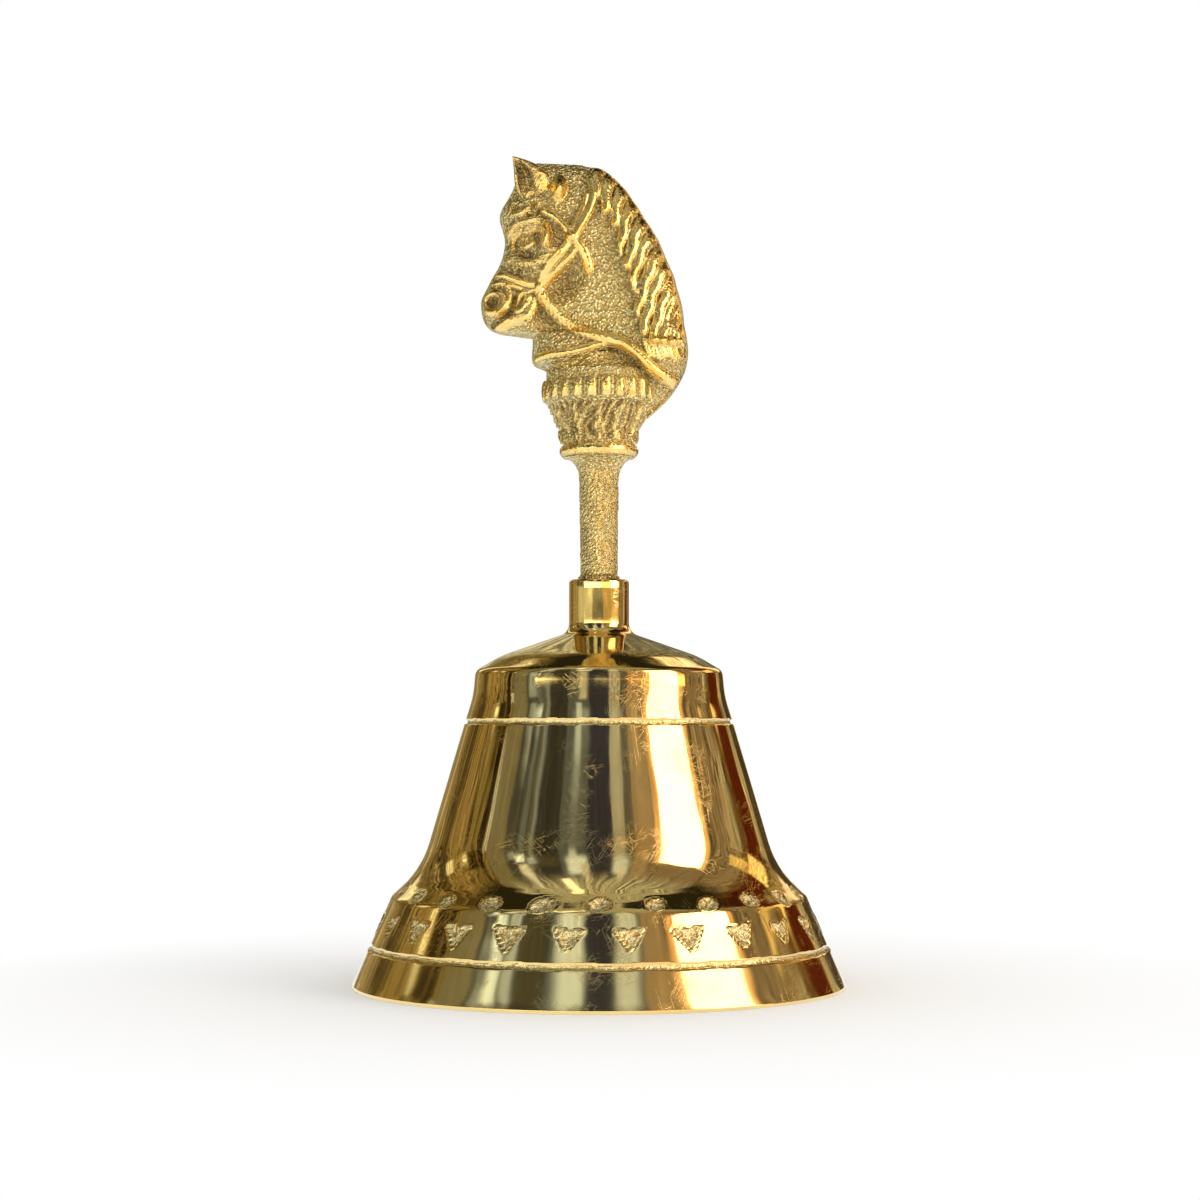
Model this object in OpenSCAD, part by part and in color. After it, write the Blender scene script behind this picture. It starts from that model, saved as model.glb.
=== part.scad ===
// Hand bell of cast and turned brass with a horse's head handle, in millimetres.
// +Z is up, the bell stands on its lip at Z = 0 and the horse looks towards -X.

/* [Bell] */
// Diameter across the lip
lip_d = 75; // [70:0.5:82]
// Diameter at the break where the flare meets the lip cone
break_d = 63.4; // [60:0.2:66]
// Height of that break above the lip
break_h = 13.6; // [12:0.1:15]
// Diameter where the straight waist turns into the flare
waist_d = 54.2; // [51:0.2:57]
// Height of that turn above the lip
waist_h = 17.8; // [16.5:0.1:19.5]
// Diameter at the groove under the shoulder band
step_d = 41; // [38:0.2:43]
// Height of that groove
step_h = 40.2; // [38:0.1:42]
// Diameter of the shoulder
shoulder_d = 37.9; // [35:0.1:39]
// Height of the shoulder corner
shoulder_h = 48; // [46.5:0.1:48.6]
// Diameter of the ring where the dome flattens
dome_d = 30; // [27:0.2:32]
// Height of that ring
dome_h = 50.3; // [49.6:0.1:51]
// Wall of the bell, square to its surface
wall = 2.2; // [1.8:0.1:2.6]
// Height of the upright edge of the lip
lip_edge_h = 0.5; // [0.4:0.1:1.6]
// Rounding of the lip's outer edge
lip_round = 0.3; // [0.1:0.1:0.4]
// Chamfer of the lip's inner edge
lip_chamfer = 0.3; // [0.2:0.1:0.5]

/* [Neck of the bell] */
// Outer diameter of the neck
neck_d = 9.2; // [8.6:0.1:10.4]
// Height at which the dome turns up into the neck
neck_foot_h = 53.9; // [53.4:0.1:54.6]
// Height of the neck's top face
neck_top_h = 62; // [60:0.5:65]
// Height of the floor of the neck's bore
bore_floor_h = 52.3; // [51.8:0.1:53]
// Thickness of the crown under that floor
crown_t = 3; // [2.4:0.1:3.4]
// Diameter of the flat turned inside the crown
crown_flat_d = 17; // [13:0.5:19]

/* [Ornament of the bell] */
// Width of the groove under the shoulder
step_groove_w = 0.9; // [0.7:0.1:1.5]
// Width of the groove near the lip
lip_groove_w = 1.1; // [0.8:0.1:1.8]
// Height of the groove near the lip
lip_groove_h = 6.2; // [5:0.1:6.8]
// Depth of both grooves
groove_depth = 0.4; // [0.3:0.05:0.7]
// How many round and how many three-sided hollows go round
hollow_count = 24; // [18:1:26]
// Diameter of a round hollow
dot_d = 3.1; // [2.4:0.1:3.6]
// Depth of a round hollow
dot_depth = 0.4; // [0.25:0.05:0.6]
// Height of the row of round hollows
dot_h = 14.4; // [14:0.1:15]
// Width across the top of a three-sided hollow
tri_w = 4.8; // [3.8:0.1:5.6]
// Depth of a three-sided hollow
tri_depth = 0.45; // [0.3:0.05:0.6]
// Height of the row of three-sided hollows
tri_h = 10.1; // [9.2:0.1:10.6]

/* [Stem of the handle] */
// Diameter of the stem where it leaves the neck
stem_foot_d = 5.7; // [5:0.1:6.2]
// Diameter of the stem under the capital
stem_top_d = 6.1; // [5.4:0.1:6.8]
// Height of the stem between the neck and the capital's cove
stem_len = 15.6; // [10:0.2:20]
// Diameter of the collar that seats on the neck
collar_d = 6.4; // [6.2:0.1:8]
// Height of that collar
collar_h = 0.9; // [0.7:0.1:1.6]
// Diameter of the spigot inside the neck
spigot_d = 5.6; // [5:0.1:6]
// Diameter of the stud thread, taken as a plain bore and shank
thread_d = 3; // [2.5:0.1:3.2]
// Depth of the threaded bore inside the spigot
thread_len = 6.5; // [4:0.5:8]
// Room left above the end of the stud
thread_end_gap = 0.4; // [0.2:0.1:1]

/* [Capital] */
// Diameter over the bead
bead_d = 12.2; // [11.4:0.1:13]
// Height of the bead
bead_h = 2.1; // [1.6:0.1:2.4]
// Height of the cove under the bead
cove_h = 3.2; // [2.4:0.1:3.8]
// Height of the leafy basket
basket_h = 6.2; // [5:0.1:7]
// Height of the basket's upright foot, above which its flank leans out
basket_foot_h = 2.2; // [1.6:0.1:3]
// Diameter of the basket under the fluted ring
basket_top_d = 15; // [14.2:0.1:16.4]
// Diameter over the fluted ring
flute_ring_d = 17.2; // [16.6:0.1:18.2]
// Height of the fluted ring
flute_ring_h = 3.6; // [3:0.1:4.2]
// How many flutes go round
flute_count = 24; // [18:1:28]
// Width of the channel between two flutes
flute_cut_w = 0.9; // [0.6:0.05:1.1]
// How many leaves go round the basket
leaf_count = 12; // [8:1:16]
// Width of the channel between two leaves
leaf_cut_w = 0.9; // [0.6:0.05:1.2]
// Diameter of the throat between the ring and the bust
throat_d = 16.2; // [15:0.1:16.4]
// Height of that throat
throat_h = 1.3; // [0.8:0.1:2]
// Diameter where the throat's cove runs out on the side of the bust
cove_top_d = 11.6; // [10:0.2:12.6]
// Height of that cove
cove_top_h = 2.6; // [1.6:0.1:3.2]

/* [Horse's head] */
// Height from the front edge of the bust to the tip of the ear
head_h = 33.2; // [31:0.2:36]
// Thickness of the neck at the foot of the bust
head_t = 13.6; // [12.6:0.1:14.6]
// How far the locks of the mane stand off the neck
mane_relief = 1.1; // [0.5:0.05:1.3]
// Width of one lock
lock_w = 1.9; // [1.4:0.1:2.2]
// Width of the bridle's straps
strap_w = 1.5; // [1.2:0.1:1.9]
// How far the straps stand up
strap_relief = 0.55; // [0.3:0.05:0.8]
// Width of the rein
rein_w = 1.9; // [1.5:0.1:2.3]
// How far the rein stands up
rein_relief = 0.85; // [0.5:0.05:1.1]
// Diameter of the eyeball
eye_d = 2.4; // [1.9:0.1:2.8]
// Thickness of an ear
ear_t = 2.6; // [2:0.1:3]
// Distance between the middles of the two ears
ear_gap = 6; // [5:0.1:7]

/* [Clapper and its hanging] */
// Diameter of the washer under the crown
washer_d = 9; // [8:0.2:11]
// Thickness of the washer
washer_t = 0.8; // [0.5:0.1:1.2]
// Width across the flats of the nut
nut_af = 5.5; // [5:0.1:7]
// Height of the nut
nut_h = 2.4; // [2:0.1:3]
// Wire of the eye bolt's eye
eye_wire_d = 2.2; // [1.8:0.1:2.4]
// Diameter of the eye, middle of wire to middle of wire
eye_ring_d = 6; // [5.6:0.1:6.6]
// Thread that shows between the nut and the eye
eye_drop = 1; // [0.5:0.1:2]
// Wire of the link
link_wire_d = 1.6; // [1.3:0.1:1.8]
// Length of the link, middle of wire to middle of wire
link_len = 8; // [7.4:0.1:9]
// Width of the link, middle of wire to middle of wire
link_w = 4.6; // [4.4:0.1:5.2]
// Wire of the clapper rod
rod_wire_d = 1.8; // [1.5:0.1:2]
// Diameter of the rod's loop, middle of wire to middle of wire
rod_loop_d = 4.8; // [4.6:0.1:5.4]
// Diameter of the clapper's ball
ball_d = 12.4; // [11:0.1:13]
// Height of the middle of the ball above the lip plane
ball_h = 8; // [7.6:0.1:10]
// Diameter of the peened foot of the rod
peen_d = 3; // [2.6:0.1:3.6]

/* [Fits] */
// Gap all round between the spigot and the neck's bore
spigot_gap = 0.05; // [0.02:0.01:0.1]
// Gap between the end of the spigot and the floor of the bore
spigot_end_gap = 0.2; // [0.1:0.05:0.4]
// Gap all round between thread and bore, nut or washer
thread_gap = 0.04; // [0.02:0.01:0.1]
// Gap between two loops that hang in each other
loop_gap = 0.08; // [0.05:0.01:0.12]
// Gap all round between the rod and the ball's bore
ball_gap = 0.03; // [0.02:0.01:0.06]

/* [Hidden] */
$fn = 72;
cut_over = 2;

// Bell outline: radii and heights of its corners, from the lip up to the neck
lip_r = lip_d / 2;
neck_r = neck_d / 2;
band_turn_h = (step_h + shoulder_h) / 2;
band_turn_r = shoulder_d / 2 + 0.35;
neck_round = 0.5;
neck_fillet = 2;
inner_round = 1.5;
shoulder_round = 1.4;
// each corner is [radius, height, rounding radius]
bell_corners = [
    [lip_r, 0, lip_round],
    [lip_r, lip_edge_h, 0.3],
    [break_d / 2, break_h, 2],
    [waist_d / 2, waist_h, 15],
    [step_d / 2, step_h, 0],
    [band_turn_r, band_turn_h, 14],
    [shoulder_d / 2, shoulder_h, shoulder_round],
    [dome_d / 2, dome_h, 14],
    [neck_r, neck_foot_h, neck_fillet],
    [neck_r, neck_top_h, neck_round],
];
crown_under_h = bore_floor_h - crown_t;
bore_r = spigot_d / 2 + spigot_gap;
thread_r = thread_d / 2;

// Handle: heights from the neck's top face upwards
stem_z = neck_top_h + collar_h;
cove_z = stem_z + stem_len - collar_h;
bead_z = cove_z + cove_h;
basket_z = bead_z + bead_h;
ring_z = basket_z + basket_h;
throat_z = ring_z + flute_ring_h;
head_z = throat_z + throat_h;
spigot_len = neck_top_h - bore_floor_h - spigot_end_gap;
bead_lap = 0.6;
basket_lap = 0.2;
ring_round = 0.9;

// Hanging of the clapper: heights from the crown downwards
washer_z = crown_under_h - washer_t;
nut_z = washer_z - nut_h;
eye_r = eye_ring_d / 2;
eye_z = nut_z - eye_drop - eye_wire_d / 2 - eye_r;
swing_z = eye_z - eye_r;
link_top_z = swing_z + eye_wire_d / 2 + link_wire_d / 2 + loop_gap;
link_z = link_top_z - link_len / 2;
sway_z = link_top_z - link_len;
rod_top_z = sway_z + link_wire_d / 2 + rod_wire_d / 2 + loop_gap;
rod_loop_z = rod_top_z - rod_loop_d / 2;
peen_h = 0.8;
ball_face = 0.25;
ball_foot_z = ball_h - ball_d / 2 + ball_face;

// Head: all its outline points are for this height and are scaled to head_h
head_ref_h = 33.2;
head_k = head_h / head_ref_h;
head_cols = 44;
head_rows = 58;

// Each station is a cut through the head from its front edge to its back edge:
// [front x, front z, back x, back z, half thickness in front, half thickness behind]
stations = [
    [-8.2, 0.3, 7.6, -7.0, 5.6, 4.6],
    [-9.0, 0.8, 10.4, -4.4, 6.3, 5.2],
    [-10.2, 1.4, 12.3, -1.8, 6.8, 5.6],
    [-10.4, 2.6, 13.4, 0.6, 6.8, 5.8],
    [-10.3, 4.4, 13.8, 3.2, 6.4, 5.8],
    [-10.6, 5.6, 13.6, 5.4, 5.6, 5.8],
    [-13.4, 5.9, 13.4, 6.6, 4.2, 5.7],
    [-16.4, 6.5, 13.2, 7.6, 3.9, 5.6],
    [-17.7, 7.8, 13.1, 8.8, 4.2, 5.5],
    [-18.2, 9.6, 12.9, 10.2, 4.3, 5.4],
    [-18.2, 11.4, 12.6, 11.6, 4.1, 5.4],
    [-17.4, 13.1, 12.1, 13.2, 4.0, 5.3],
    [-16.5, 14.9, 11.7, 14.9, 4.3, 5.3],
    [-15.6, 16.4, 11.0, 16.5, 4.7, 5.2],
    [-14.9, 18.3, 10.2, 18.4, 5.1, 5.1],
    [-14.6, 20.4, 9.4, 20.3, 5.3, 5.0],
    [-14.9, 22.0, 8.4, 22.1, 5.3, 4.9],
    [-15.4, 23.8, 7.2, 23.9, 5.1, 4.7],
    [-15.2, 25.2, 6.3, 25.4, 4.8, 4.5],
    [-14.3, 26.8, 5.3, 26.9, 4.4, 4.2],
    [-13.5, 28.3, 4.2, 28.4, 3.8, 3.8],
    [-12.9, 29.8, 2.6, 30.0, 3.2, 3.3],
    [-12.2, 31.0, 0.7, 31.2, 2.3, 2.5],
    [-10.4, 32.1, -2.4, 32.1, 1.0, 1.1],
];

// Lines of the relief on each cheek, as [x, z] points of the head
noseband_top = [[-17.2, 14.9], [-15.4, 14.9], [-13.4, 14.2], [-11.3, 13.3], [-9.4, 12.9]];
noseband_low = [[-17.4, 13.5], [-15.2, 13.6], [-12.9, 13.0], [-11.0, 12.3], [-9.4, 12.2]];
cheek_strap = [[-9.0, 13.2], [-7.7, 15.4], [-6.2, 17.2], [-4.4, 19.8]];
jaw_edge = [[-9.0, 12.6], [-7.4, 13.9], [-5.6, 15.6], [-3.8, 18.2]];
throat_strap = [[-3.7, 20.0], [-2.6, 18.6], [-1.8, 16.8], [-1.6, 15.2]];
brow_band = [[-8.4, 24.4], [-6.8, 23.5], [-5.4, 22.2], [-4.4, 20.6]];
poll_strap = [[-3.6, 20.6], [-2.4, 22.8], [-1.3, 25.0], [-0.8, 27.2], [-1.1, 29.4]];
rein_rope = [[-9.2, 12.4], [-8.0, 10.4], [-6.3, 8.4], [-3.9, 6.4], [-1.0, 5.2], [1.6, 4.6]];
rein_strap = [[1.4, 4.5], [3.4, 3.9], [5.4, 2.6], [7.4, 0.5], [9.6, -1.1], [12.4, -2.2]];
chest_edge = [[-10.4, 1.7], [-8.0, 2.1], [-5.4, 2.3], [-2.8, 2.8], [-0.6, 3.5], [1.3, 4.1]];
brow = [[-14.0, 21.9], [-12.6, 23.0], [-10.6, 23.8], [-8.7, 23.0], [-7.8, 21.2], [-8.5, 18.9]];
upper_lid = [[-13.2, 20.4], [-12.4, 21.5], [-11.2, 21.8], [-9.9, 21.2], [-9.2, 20.2]];
face_crest = [[-7.2, 17.7], [-9.6, 17.2], [-11.8, 17.5], [-13.9, 17.3]];
mouth = [[-16.4, 7.1], [-14.9, 8.0], [-13.6, 8.9], [-13.0, 10.0], [-12.9, 11.2]];
lower_lip = [[-15.2, 6.6], [-13.2, 7.4], [-11.4, 7.8], [-10.3, 9.2], [-10.3, 10.8]];
mane_front = [[-3.2, 31.9], [-0.9, 29.0], [-0.2, 26.6], [0.3, 24.4], [2.0, 22.0], [2.8, 19.6], [3.4, 16.0],
    [4.8, 13.0], [5.4, 9.6], [5.8, 7.4], [6.4, 5.2], [7.3, 1.6], [8.2, -4]];
eye_at = [-11.2, 20.4];
nostril_at = [-16.4, 10.5];
rosette_at = [-4.2, 20.2];
bit_at = [-9.2, 12.6];

// Locks of the mane: where each one leaves the crest and where it runs out
lock_roots = [[-0.4, 31.2], [1.6, 30.0], [3.6, 28.2], [5.4, 26.0], [7.0, 23.6], [8.5, 21.4],
    [9.7, 19.0], [10.7, 16.4], [11.5, 14.0], [12.1, 11.8], [12.7, 9.6], [13.2, 7.4]];
lock_tips = [[-0.6, 26.6], [0.9, 24.4], [2.4, 22.4], [3.0, 17.8], [4.4, 15.8], [4.9, 12.6],
    [5.7, 8.4], [6.7, 5.6], [8.3, 4.4], [9.9, 4.2], [11.3, 4.2], [12.6, 4.4]];
lock_routes = [for (i = [0:len(lock_roots) - 1]) let (a = lock_roots[i], b = lock_tips[i])
    [a, 0.45 * a + 0.55 * b + [-0.3, i % 2 == 0 ? 0.3 : 0.8], b]];

// Outlines with rounded corners

function unit(v) = v / norm(v);
function turn(u, v) = u[0] * v[1] - u[1] * v[0];
function xy(p) = [p[0], p[1]];

// Points of the arc that rounds corner b between its neighbours a and c
function round_corner(a, b, c) =
    b[2] == 0 ? [xy(b)] :
    let (u = unit(xy(a) - xy(b)), v = unit(xy(c) - xy(b)),
         half = acos(max(-1, min(1, u * v))) / 2,
         reach = b[2] / tan(half),
         mid = xy(b) + unit(u + v) * (b[2] / sin(half)),
         from = xy(b) + u * reach - mid, to = xy(b) + v * reach - mid,
         sweep = acos(max(-1, min(1, unit(from) * unit(to)))),
         side = turn(from, to) > 0 ? 1 : -1,
         steps = max(2, ceil(sweep / 12)))
    [for (i = [0:steps]) let (w = side * sweep * i / steps)
        mid + [from[0] * cos(w) - from[1] * sin(w), from[0] * sin(w) + from[1] * cos(w)]];

// An open outline through the corners, whose two ends stay sharp
function rounded(c) = [
    for (i = [0:len(c) - 1])
        for (p = (i == 0 || i == len(c) - 1) ? [xy(c[i])] : round_corner(c[i - 1], c[i], c[i + 1])) p
];

// Where the line from p along u meets the line from q along v
function meet(p, u, q, v) = p + u * (turn(q - p, v) / turn(u, v));

// Corner i of the outline c after each of its straight sides has moved inwards by t
function inner_corner(c, i, t) =
    let (u = unit(xy(c[i]) - xy(c[i - 1])), v = unit(xy(c[i + 1]) - xy(c[i])),
         p = xy(c[i]) + [-u[1], u[0]] * t, q = xy(c[i]) + [-v[1], v[0]] * t,
         m = meet(p, u, q, v), bend = turn(u, v) > 0 ? -t : t)
    [m[0], m[1], max(inner_round, c[i][2] + bend)];

// Radius of the bell's plain outline at height z, between two of its corners
function side_r(a, b, z) = a[0] + (b[0] - a[0]) * (z - a[1]) / (b[1] - a[1]);
function lip_cone_r(z) = side_r(bell_corners[1], bell_corners[2], z);
lip_cone_tilt = atan2(lip_r - break_d / 2, break_h - lip_edge_h);
flare_tilt = atan2((break_d - waist_d) / 2, waist_h - break_h);

// Smooth lines and relief of the head

// Value between b and c on a smooth curve through a, b, c and d
function smooth(a, b, c, d, f) =
    0.5 * (2 * b + (c - a) * f + (2 * a - 5 * b + 4 * c - d) * f * f + (3 * b - a - 3 * c + d) * f * f * f);

// Station at any place 0 to 1 from the foot of the bust to the poll
function station(v) =
    let (n = len(stations) - 1, t = v * n, i = min(floor(t), n - 1))
    smooth(stations[max(i - 1, 0)], stations[i], stations[i + 1], stations[min(i + 2, n)], t - i);

// Distance from p to the line from a to b, and to the nearest stretch of a route
function to_line(p, a, b) = let (u = b - a, f = max(0, min(1, (p - a) * u / (u * u)))) norm(p - a - u * f);
function to_route(p, route) = min([for (i = [0:len(route) - 2]) to_line(p, route[i], route[i + 1])]);

// Soft ridge of width w at half its height h along a route
function ridge(p, route, w, h) = let (d = to_route(p, route) * 1.3 / w) d >= 1 ? 0 : h * pow(1 - d * d, 1.5);

// Smooth bump of height h with half axes a and b, turned by w
function bump(p, c, a, b, w, h) =
    let (q = p - c, s = (q[0] * cos(w) + q[1] * sin(w)) / a, t = (q[1] * cos(w) - q[0] * sin(w)) / b,
         d = s * s + t * t)
    d >= 1 ? 0 : h * (1 - d) * (1 - d);

// Steady step from 0 to 1 while s goes from 0 to 1
function step01(s) = let (f = max(0, min(1, s))) f * f * (3 - 2 * f);

// The mane's front edge at height z of the head
function mane_edge_x(z) = lookup(-z, [for (e = mane_front) [-e[1], e[0]]]);

// Locks of the mane: rounded strands that sweep down and forwards from the crest
function mane(p) = let (over = step01((p[0] - mane_edge_x(p[1])) / 0.8 + 0.5))
    over == 0 ? 0 : over * (0.15 + max([for (route = lock_routes) ridge(p, route, lock_w, mane_relief)]));

// The smooth band in which the locks run out, over the rein
function mane_band(p) =
    step01((p[0] - 6.2) / 0.8) * step01((p[1] - 1.2) / 0.4) * step01((5.0 - p[1]) / 0.9) * mane_relief * 0.6;

// Bridle and rein
function straps(p) = max(
    ridge(p, noseband_top, strap_w * 0.8, strap_relief), ridge(p, noseband_low, strap_w * 0.7, strap_relief * 0.8),
    ridge(p, cheek_strap, strap_w * 0.9, strap_relief), ridge(p, jaw_edge, strap_w * 0.9, strap_relief * 0.9),
    ridge(p, throat_strap, strap_w * 1.2, strap_relief * 1.3), ridge(p, brow_band, strap_w * 0.9, strap_relief),
    ridge(p, poll_strap, strap_w, strap_relief * 1.4), ridge(p, chest_edge, strap_w * 0.9, strap_relief * 0.9),
    ridge(p, rein_rope, rein_w, rein_relief), ridge(p, rein_strap, rein_w * 1.1, rein_relief),
    bump(p, rosette_at, 1.6, 1.6, 0, strap_relief * 2.1), bump(p, bit_at, 1.4, 1.4, 0, strap_relief * 1.7));

// The neck's foot is set back under the chest's edge and the rein
function set_back(p) = 1.2 * step01((lookup(p[0], concat(chest_edge, rein_strap)) - 0.5 - p[1]) / 0.9);

// All the relief on one cheek at point p of the head
function relief(p) =
    max(mane(p) + mane_band(p), straps(p), ridge(p, upper_lid, 1, 0.7), bump(p, [-6.1, 28.6], 1.7, 2.8, -6, 1.7))
    + bump(p, [-8.4, 16.6], 5.0, 5.4, -20, 1.3)
    + bump(p, [-15.9, 9.9], 3.0, 3.8, 0, 1.1)
    + bump(p, [-11.2, 8.2], 2.2, 2.6, 20, 0.9)
    + ridge(p, lower_lip, 1.7, 0.55)
    + ridge(p, brow, 2.1, 0.85)
    + ridge(p, face_crest, 1.6, 0.55)
    + bump(p, eye_at, eye_d / 2 + 0.6, eye_d / 2, 8, 1.7)
    + bump(p, [-12.8, 26.0], 2.8, 2.4, 0, 0.5)
    - bump(p, eye_at, 2.9, 2.5, 0, 1.9)
    - bump(p, [-12.6, 15.4], 3.0, 1.6, -15, 0.5)
    - bump(p, nostril_at, 1.45, 1.6, 15, 1.4)
    - ridge(p, mouth, 1.1, 0.8)
    - bump(p, [-5.0, 13.3], 3.0, 4.6, -45, 1.6)
    - bump(p, [-7.9, 8.2], 2.8, 3.6, 35, 1.1)
    - set_back(p);

// Half thickness of the plain head before its relief, rounded off to both edges
function plain_t(s, u) =
    let (side = s[4] + (s[5] - s[4]) * step01((u - 0.2) / 0.5), w = abs(2 * u - 1))
    side * head_t / 13.6 * pow(1 - pow(w, 3.2), 0.55);

// Place across a station: close together at its edges, even between them
function across(i) = let (f = i / head_cols) 0.45 * (1 - cos(180 * f)) / 2 + 0.55 * f;

// One point of the head's skin, on the cheek towards -Y or +Y
function skin(s, u, cheek) =
    let (x = s[0] + (s[2] - s[0]) * u, z = s[1] + (s[3] - s[1]) * u,
         fade = step01(min(u, 1 - u) / 0.06),
         t = max(0.2, plain_t(s, u) + fade * relief([x, z])))
    [x * head_k, (u == 0 || u == 1) ? 0 : cheek * t, z * head_k];

// Head without its ears: a loft of stations, each run out along one cheek and back along the other
module head_skin() {
    ring = 2 * head_cols;
    points = [for (r = [0:head_rows]) let (s = station(r / head_rows))
        for (i = [0:ring - 1]) i <= head_cols ? skin(s, across(i), -1) : skin(s, across(ring - i), 1)];
    sides = [for (r = [0:head_rows - 1]) for (i = [0:ring - 1])
        let (a = r * ring + i, b = r * ring + (i + 1) % ring, c = b + ring, d = a + ring)
        for (f = i < head_cols ? [[a, c, b], [a, d, c]] : [[a, d, b], [b, d, c]]) f];
    foot = [for (i = [0:ring - 1]) i];
    poll = [for (i = [ring - 1:-1:0]) head_rows * ring + i];
    polyhedron(points = points, faces = concat([foot], sides, [poll]), convexity = 8);
}

// One ear, a broad pointed leaf that grows out of the crest, with its hollow turned outwards
module ear(cheek) {
    y = cheek * ear_gap / 2;
    difference() {
        hull() {
            translate([-13.1 * head_k, y * 1.05, 32.75 * head_k]) sphere(0.42, $fn = 16);
            translate([-12.3 * head_k, y, 28.8 * head_k]) sphere(ear_t * 0.32, $fn = 16);
            translate([-8.0 * head_k, y * 0.9, 28.2 * head_k]) sphere(ear_t * 0.4, $fn = 16);
            translate([-8.3 * head_k, y * 0.75, 31.1 * head_k]) sphere(ear_t * 0.35, $fn = 16);
            translate([-10.4 * head_k, y * 0.9, 26.6 * head_k]) sphere(ear_t * 0.5, $fn = 16);
        }
        hull() {
            translate([-12.4 * head_k, y + cheek * 0.9, 31.2 * head_k]) sphere(0.4, $fn = 14);
            translate([-11.1 * head_k, y + cheek * ear_t * 0.6, 28.4 * head_k]) sphere(1, $fn = 14);
            translate([-9.3 * head_k, y + cheek * ear_t * 0.6, 28.6 * head_k]) sphere(0.8, $fn = 14);
        }
    }
}

// The separate pieces

// Bell cast in one with its neck, turned inside and out, with its ornament cut in
module bell_shell() {
    outer = rounded(concat([[bore_r, 0, 0]], bell_corners, [[bore_r, neck_top_h, 0]]));
    n = len(bell_corners) - 1;
    flat_r = crown_flat_d / 2;
    mouth_r = lip_cone_r(0) - wall / cos(lip_cone_tilt);
    inner = rounded(concat(
        [[mouth_r + lip_chamfer + cut_over, -cut_over, 0],
         [mouth_r - lip_chamfer * tan(lip_cone_tilt), lip_chamfer, 0]],
        [for (i = [2:n - 2]) inner_corner(bell_corners, i, wall)],
        [[flat_r, crown_under_h, 3], [0, crown_under_h, 0]]));
    color([0.86, 0.66, 0.26])
    difference() {
        rotate_extrude($fn = 144) polygon(concat([[0, 0]], outer, [[0, neck_top_h]]));
        rotate_extrude($fn = 144) polygon(concat([[0, -cut_over]], inner));
        translate([0, 0, bore_floor_h]) cylinder(r = bore_r, h = neck_top_h);
        cylinder(r = thread_r + thread_gap, h = neck_top_h);
        ring_groove(step_d / 2, step_h, step_groove_w);
        ring_groove(lip_cone_r(lip_groove_h), lip_groove_h, lip_groove_w);
        dot_hollows();
        tri_hollows();
    }
}

// Half-round groove of width w whose floor lies groove_depth below the surface
module ring_groove(r, z, w) {
    cut_r = (w * w / 4 + groove_depth * groove_depth) / (2 * groove_depth);
    translate([0, 0, z]) rotate_extrude($fn = 144)
        translate([r + cut_r - groove_depth, 0]) circle(r = cut_r, $fn = 32);
}

// Row of round hollows low on the flare, just above its break
module dot_hollows() {
    ball_r = (dot_d * dot_d / 4 + dot_depth * dot_depth) / (2 * dot_depth);
    reach = ball_r - dot_depth;
    flare_r = side_r(bell_corners[2], bell_corners[3], dot_h);
    for (i = [0:hollow_count - 1])
        rotate([0, 0, 360 * i / hollow_count - 90])
            translate([flare_r + reach * cos(flare_tilt), 0, dot_h + reach * sin(flare_tilt)])
                sphere(ball_r, $fn = 36);
}

// Row of three-sided hollows, points down, half a step round from the round ones
module tri_hollows() {
    for (i = [0:hollow_count - 1])
        rotate([0, 0, 360 * (i + 0.5) / hollow_count - 90])
            translate([lip_cone_r(tri_h), 0, tri_h])
                rotate([0, 90 - lip_cone_tilt, 0])
                    translate([0, 0, -tri_depth])
                        linear_extrude(cut_over)
                            polygon([[-tri_w * 0.32, -tri_w / 2], [-tri_w * 0.32, tri_w / 2],
                                     [tri_w * 0.05, tri_w * 0.3], [tri_w * 0.46, 0],
                                     [tri_w * 0.05, -tri_w * 0.3]]);
}

// Handle cast in one: spigot, stem, capital and horse's head
module handle() {
    color([0.8, 0.58, 0.2])
    union() {
        difference() {
            stem_and_capital();
            flute_cuts();
            leaf_cuts();
            translate([0, 0, neck_top_h - spigot_len - cut_over])
                cylinder(r = thread_r + thread_gap, h = thread_len + cut_over);
        }
        translate([0, 0, head_z]) {
            head_skin();
            ear(-1);
            ear(1);
        }
    }
}

// Point of the basket's flank at a height above the bead, upright at its foot and leaning out above
function basket_point(h) =
    let (foot = bead_d / 2 - basket_lap, out = max(0, h - basket_foot_h) / (basket_h - basket_foot_h))
    [foot + (basket_top_d / 2 - foot) * pow(out, 0.9), basket_z + h];

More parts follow.
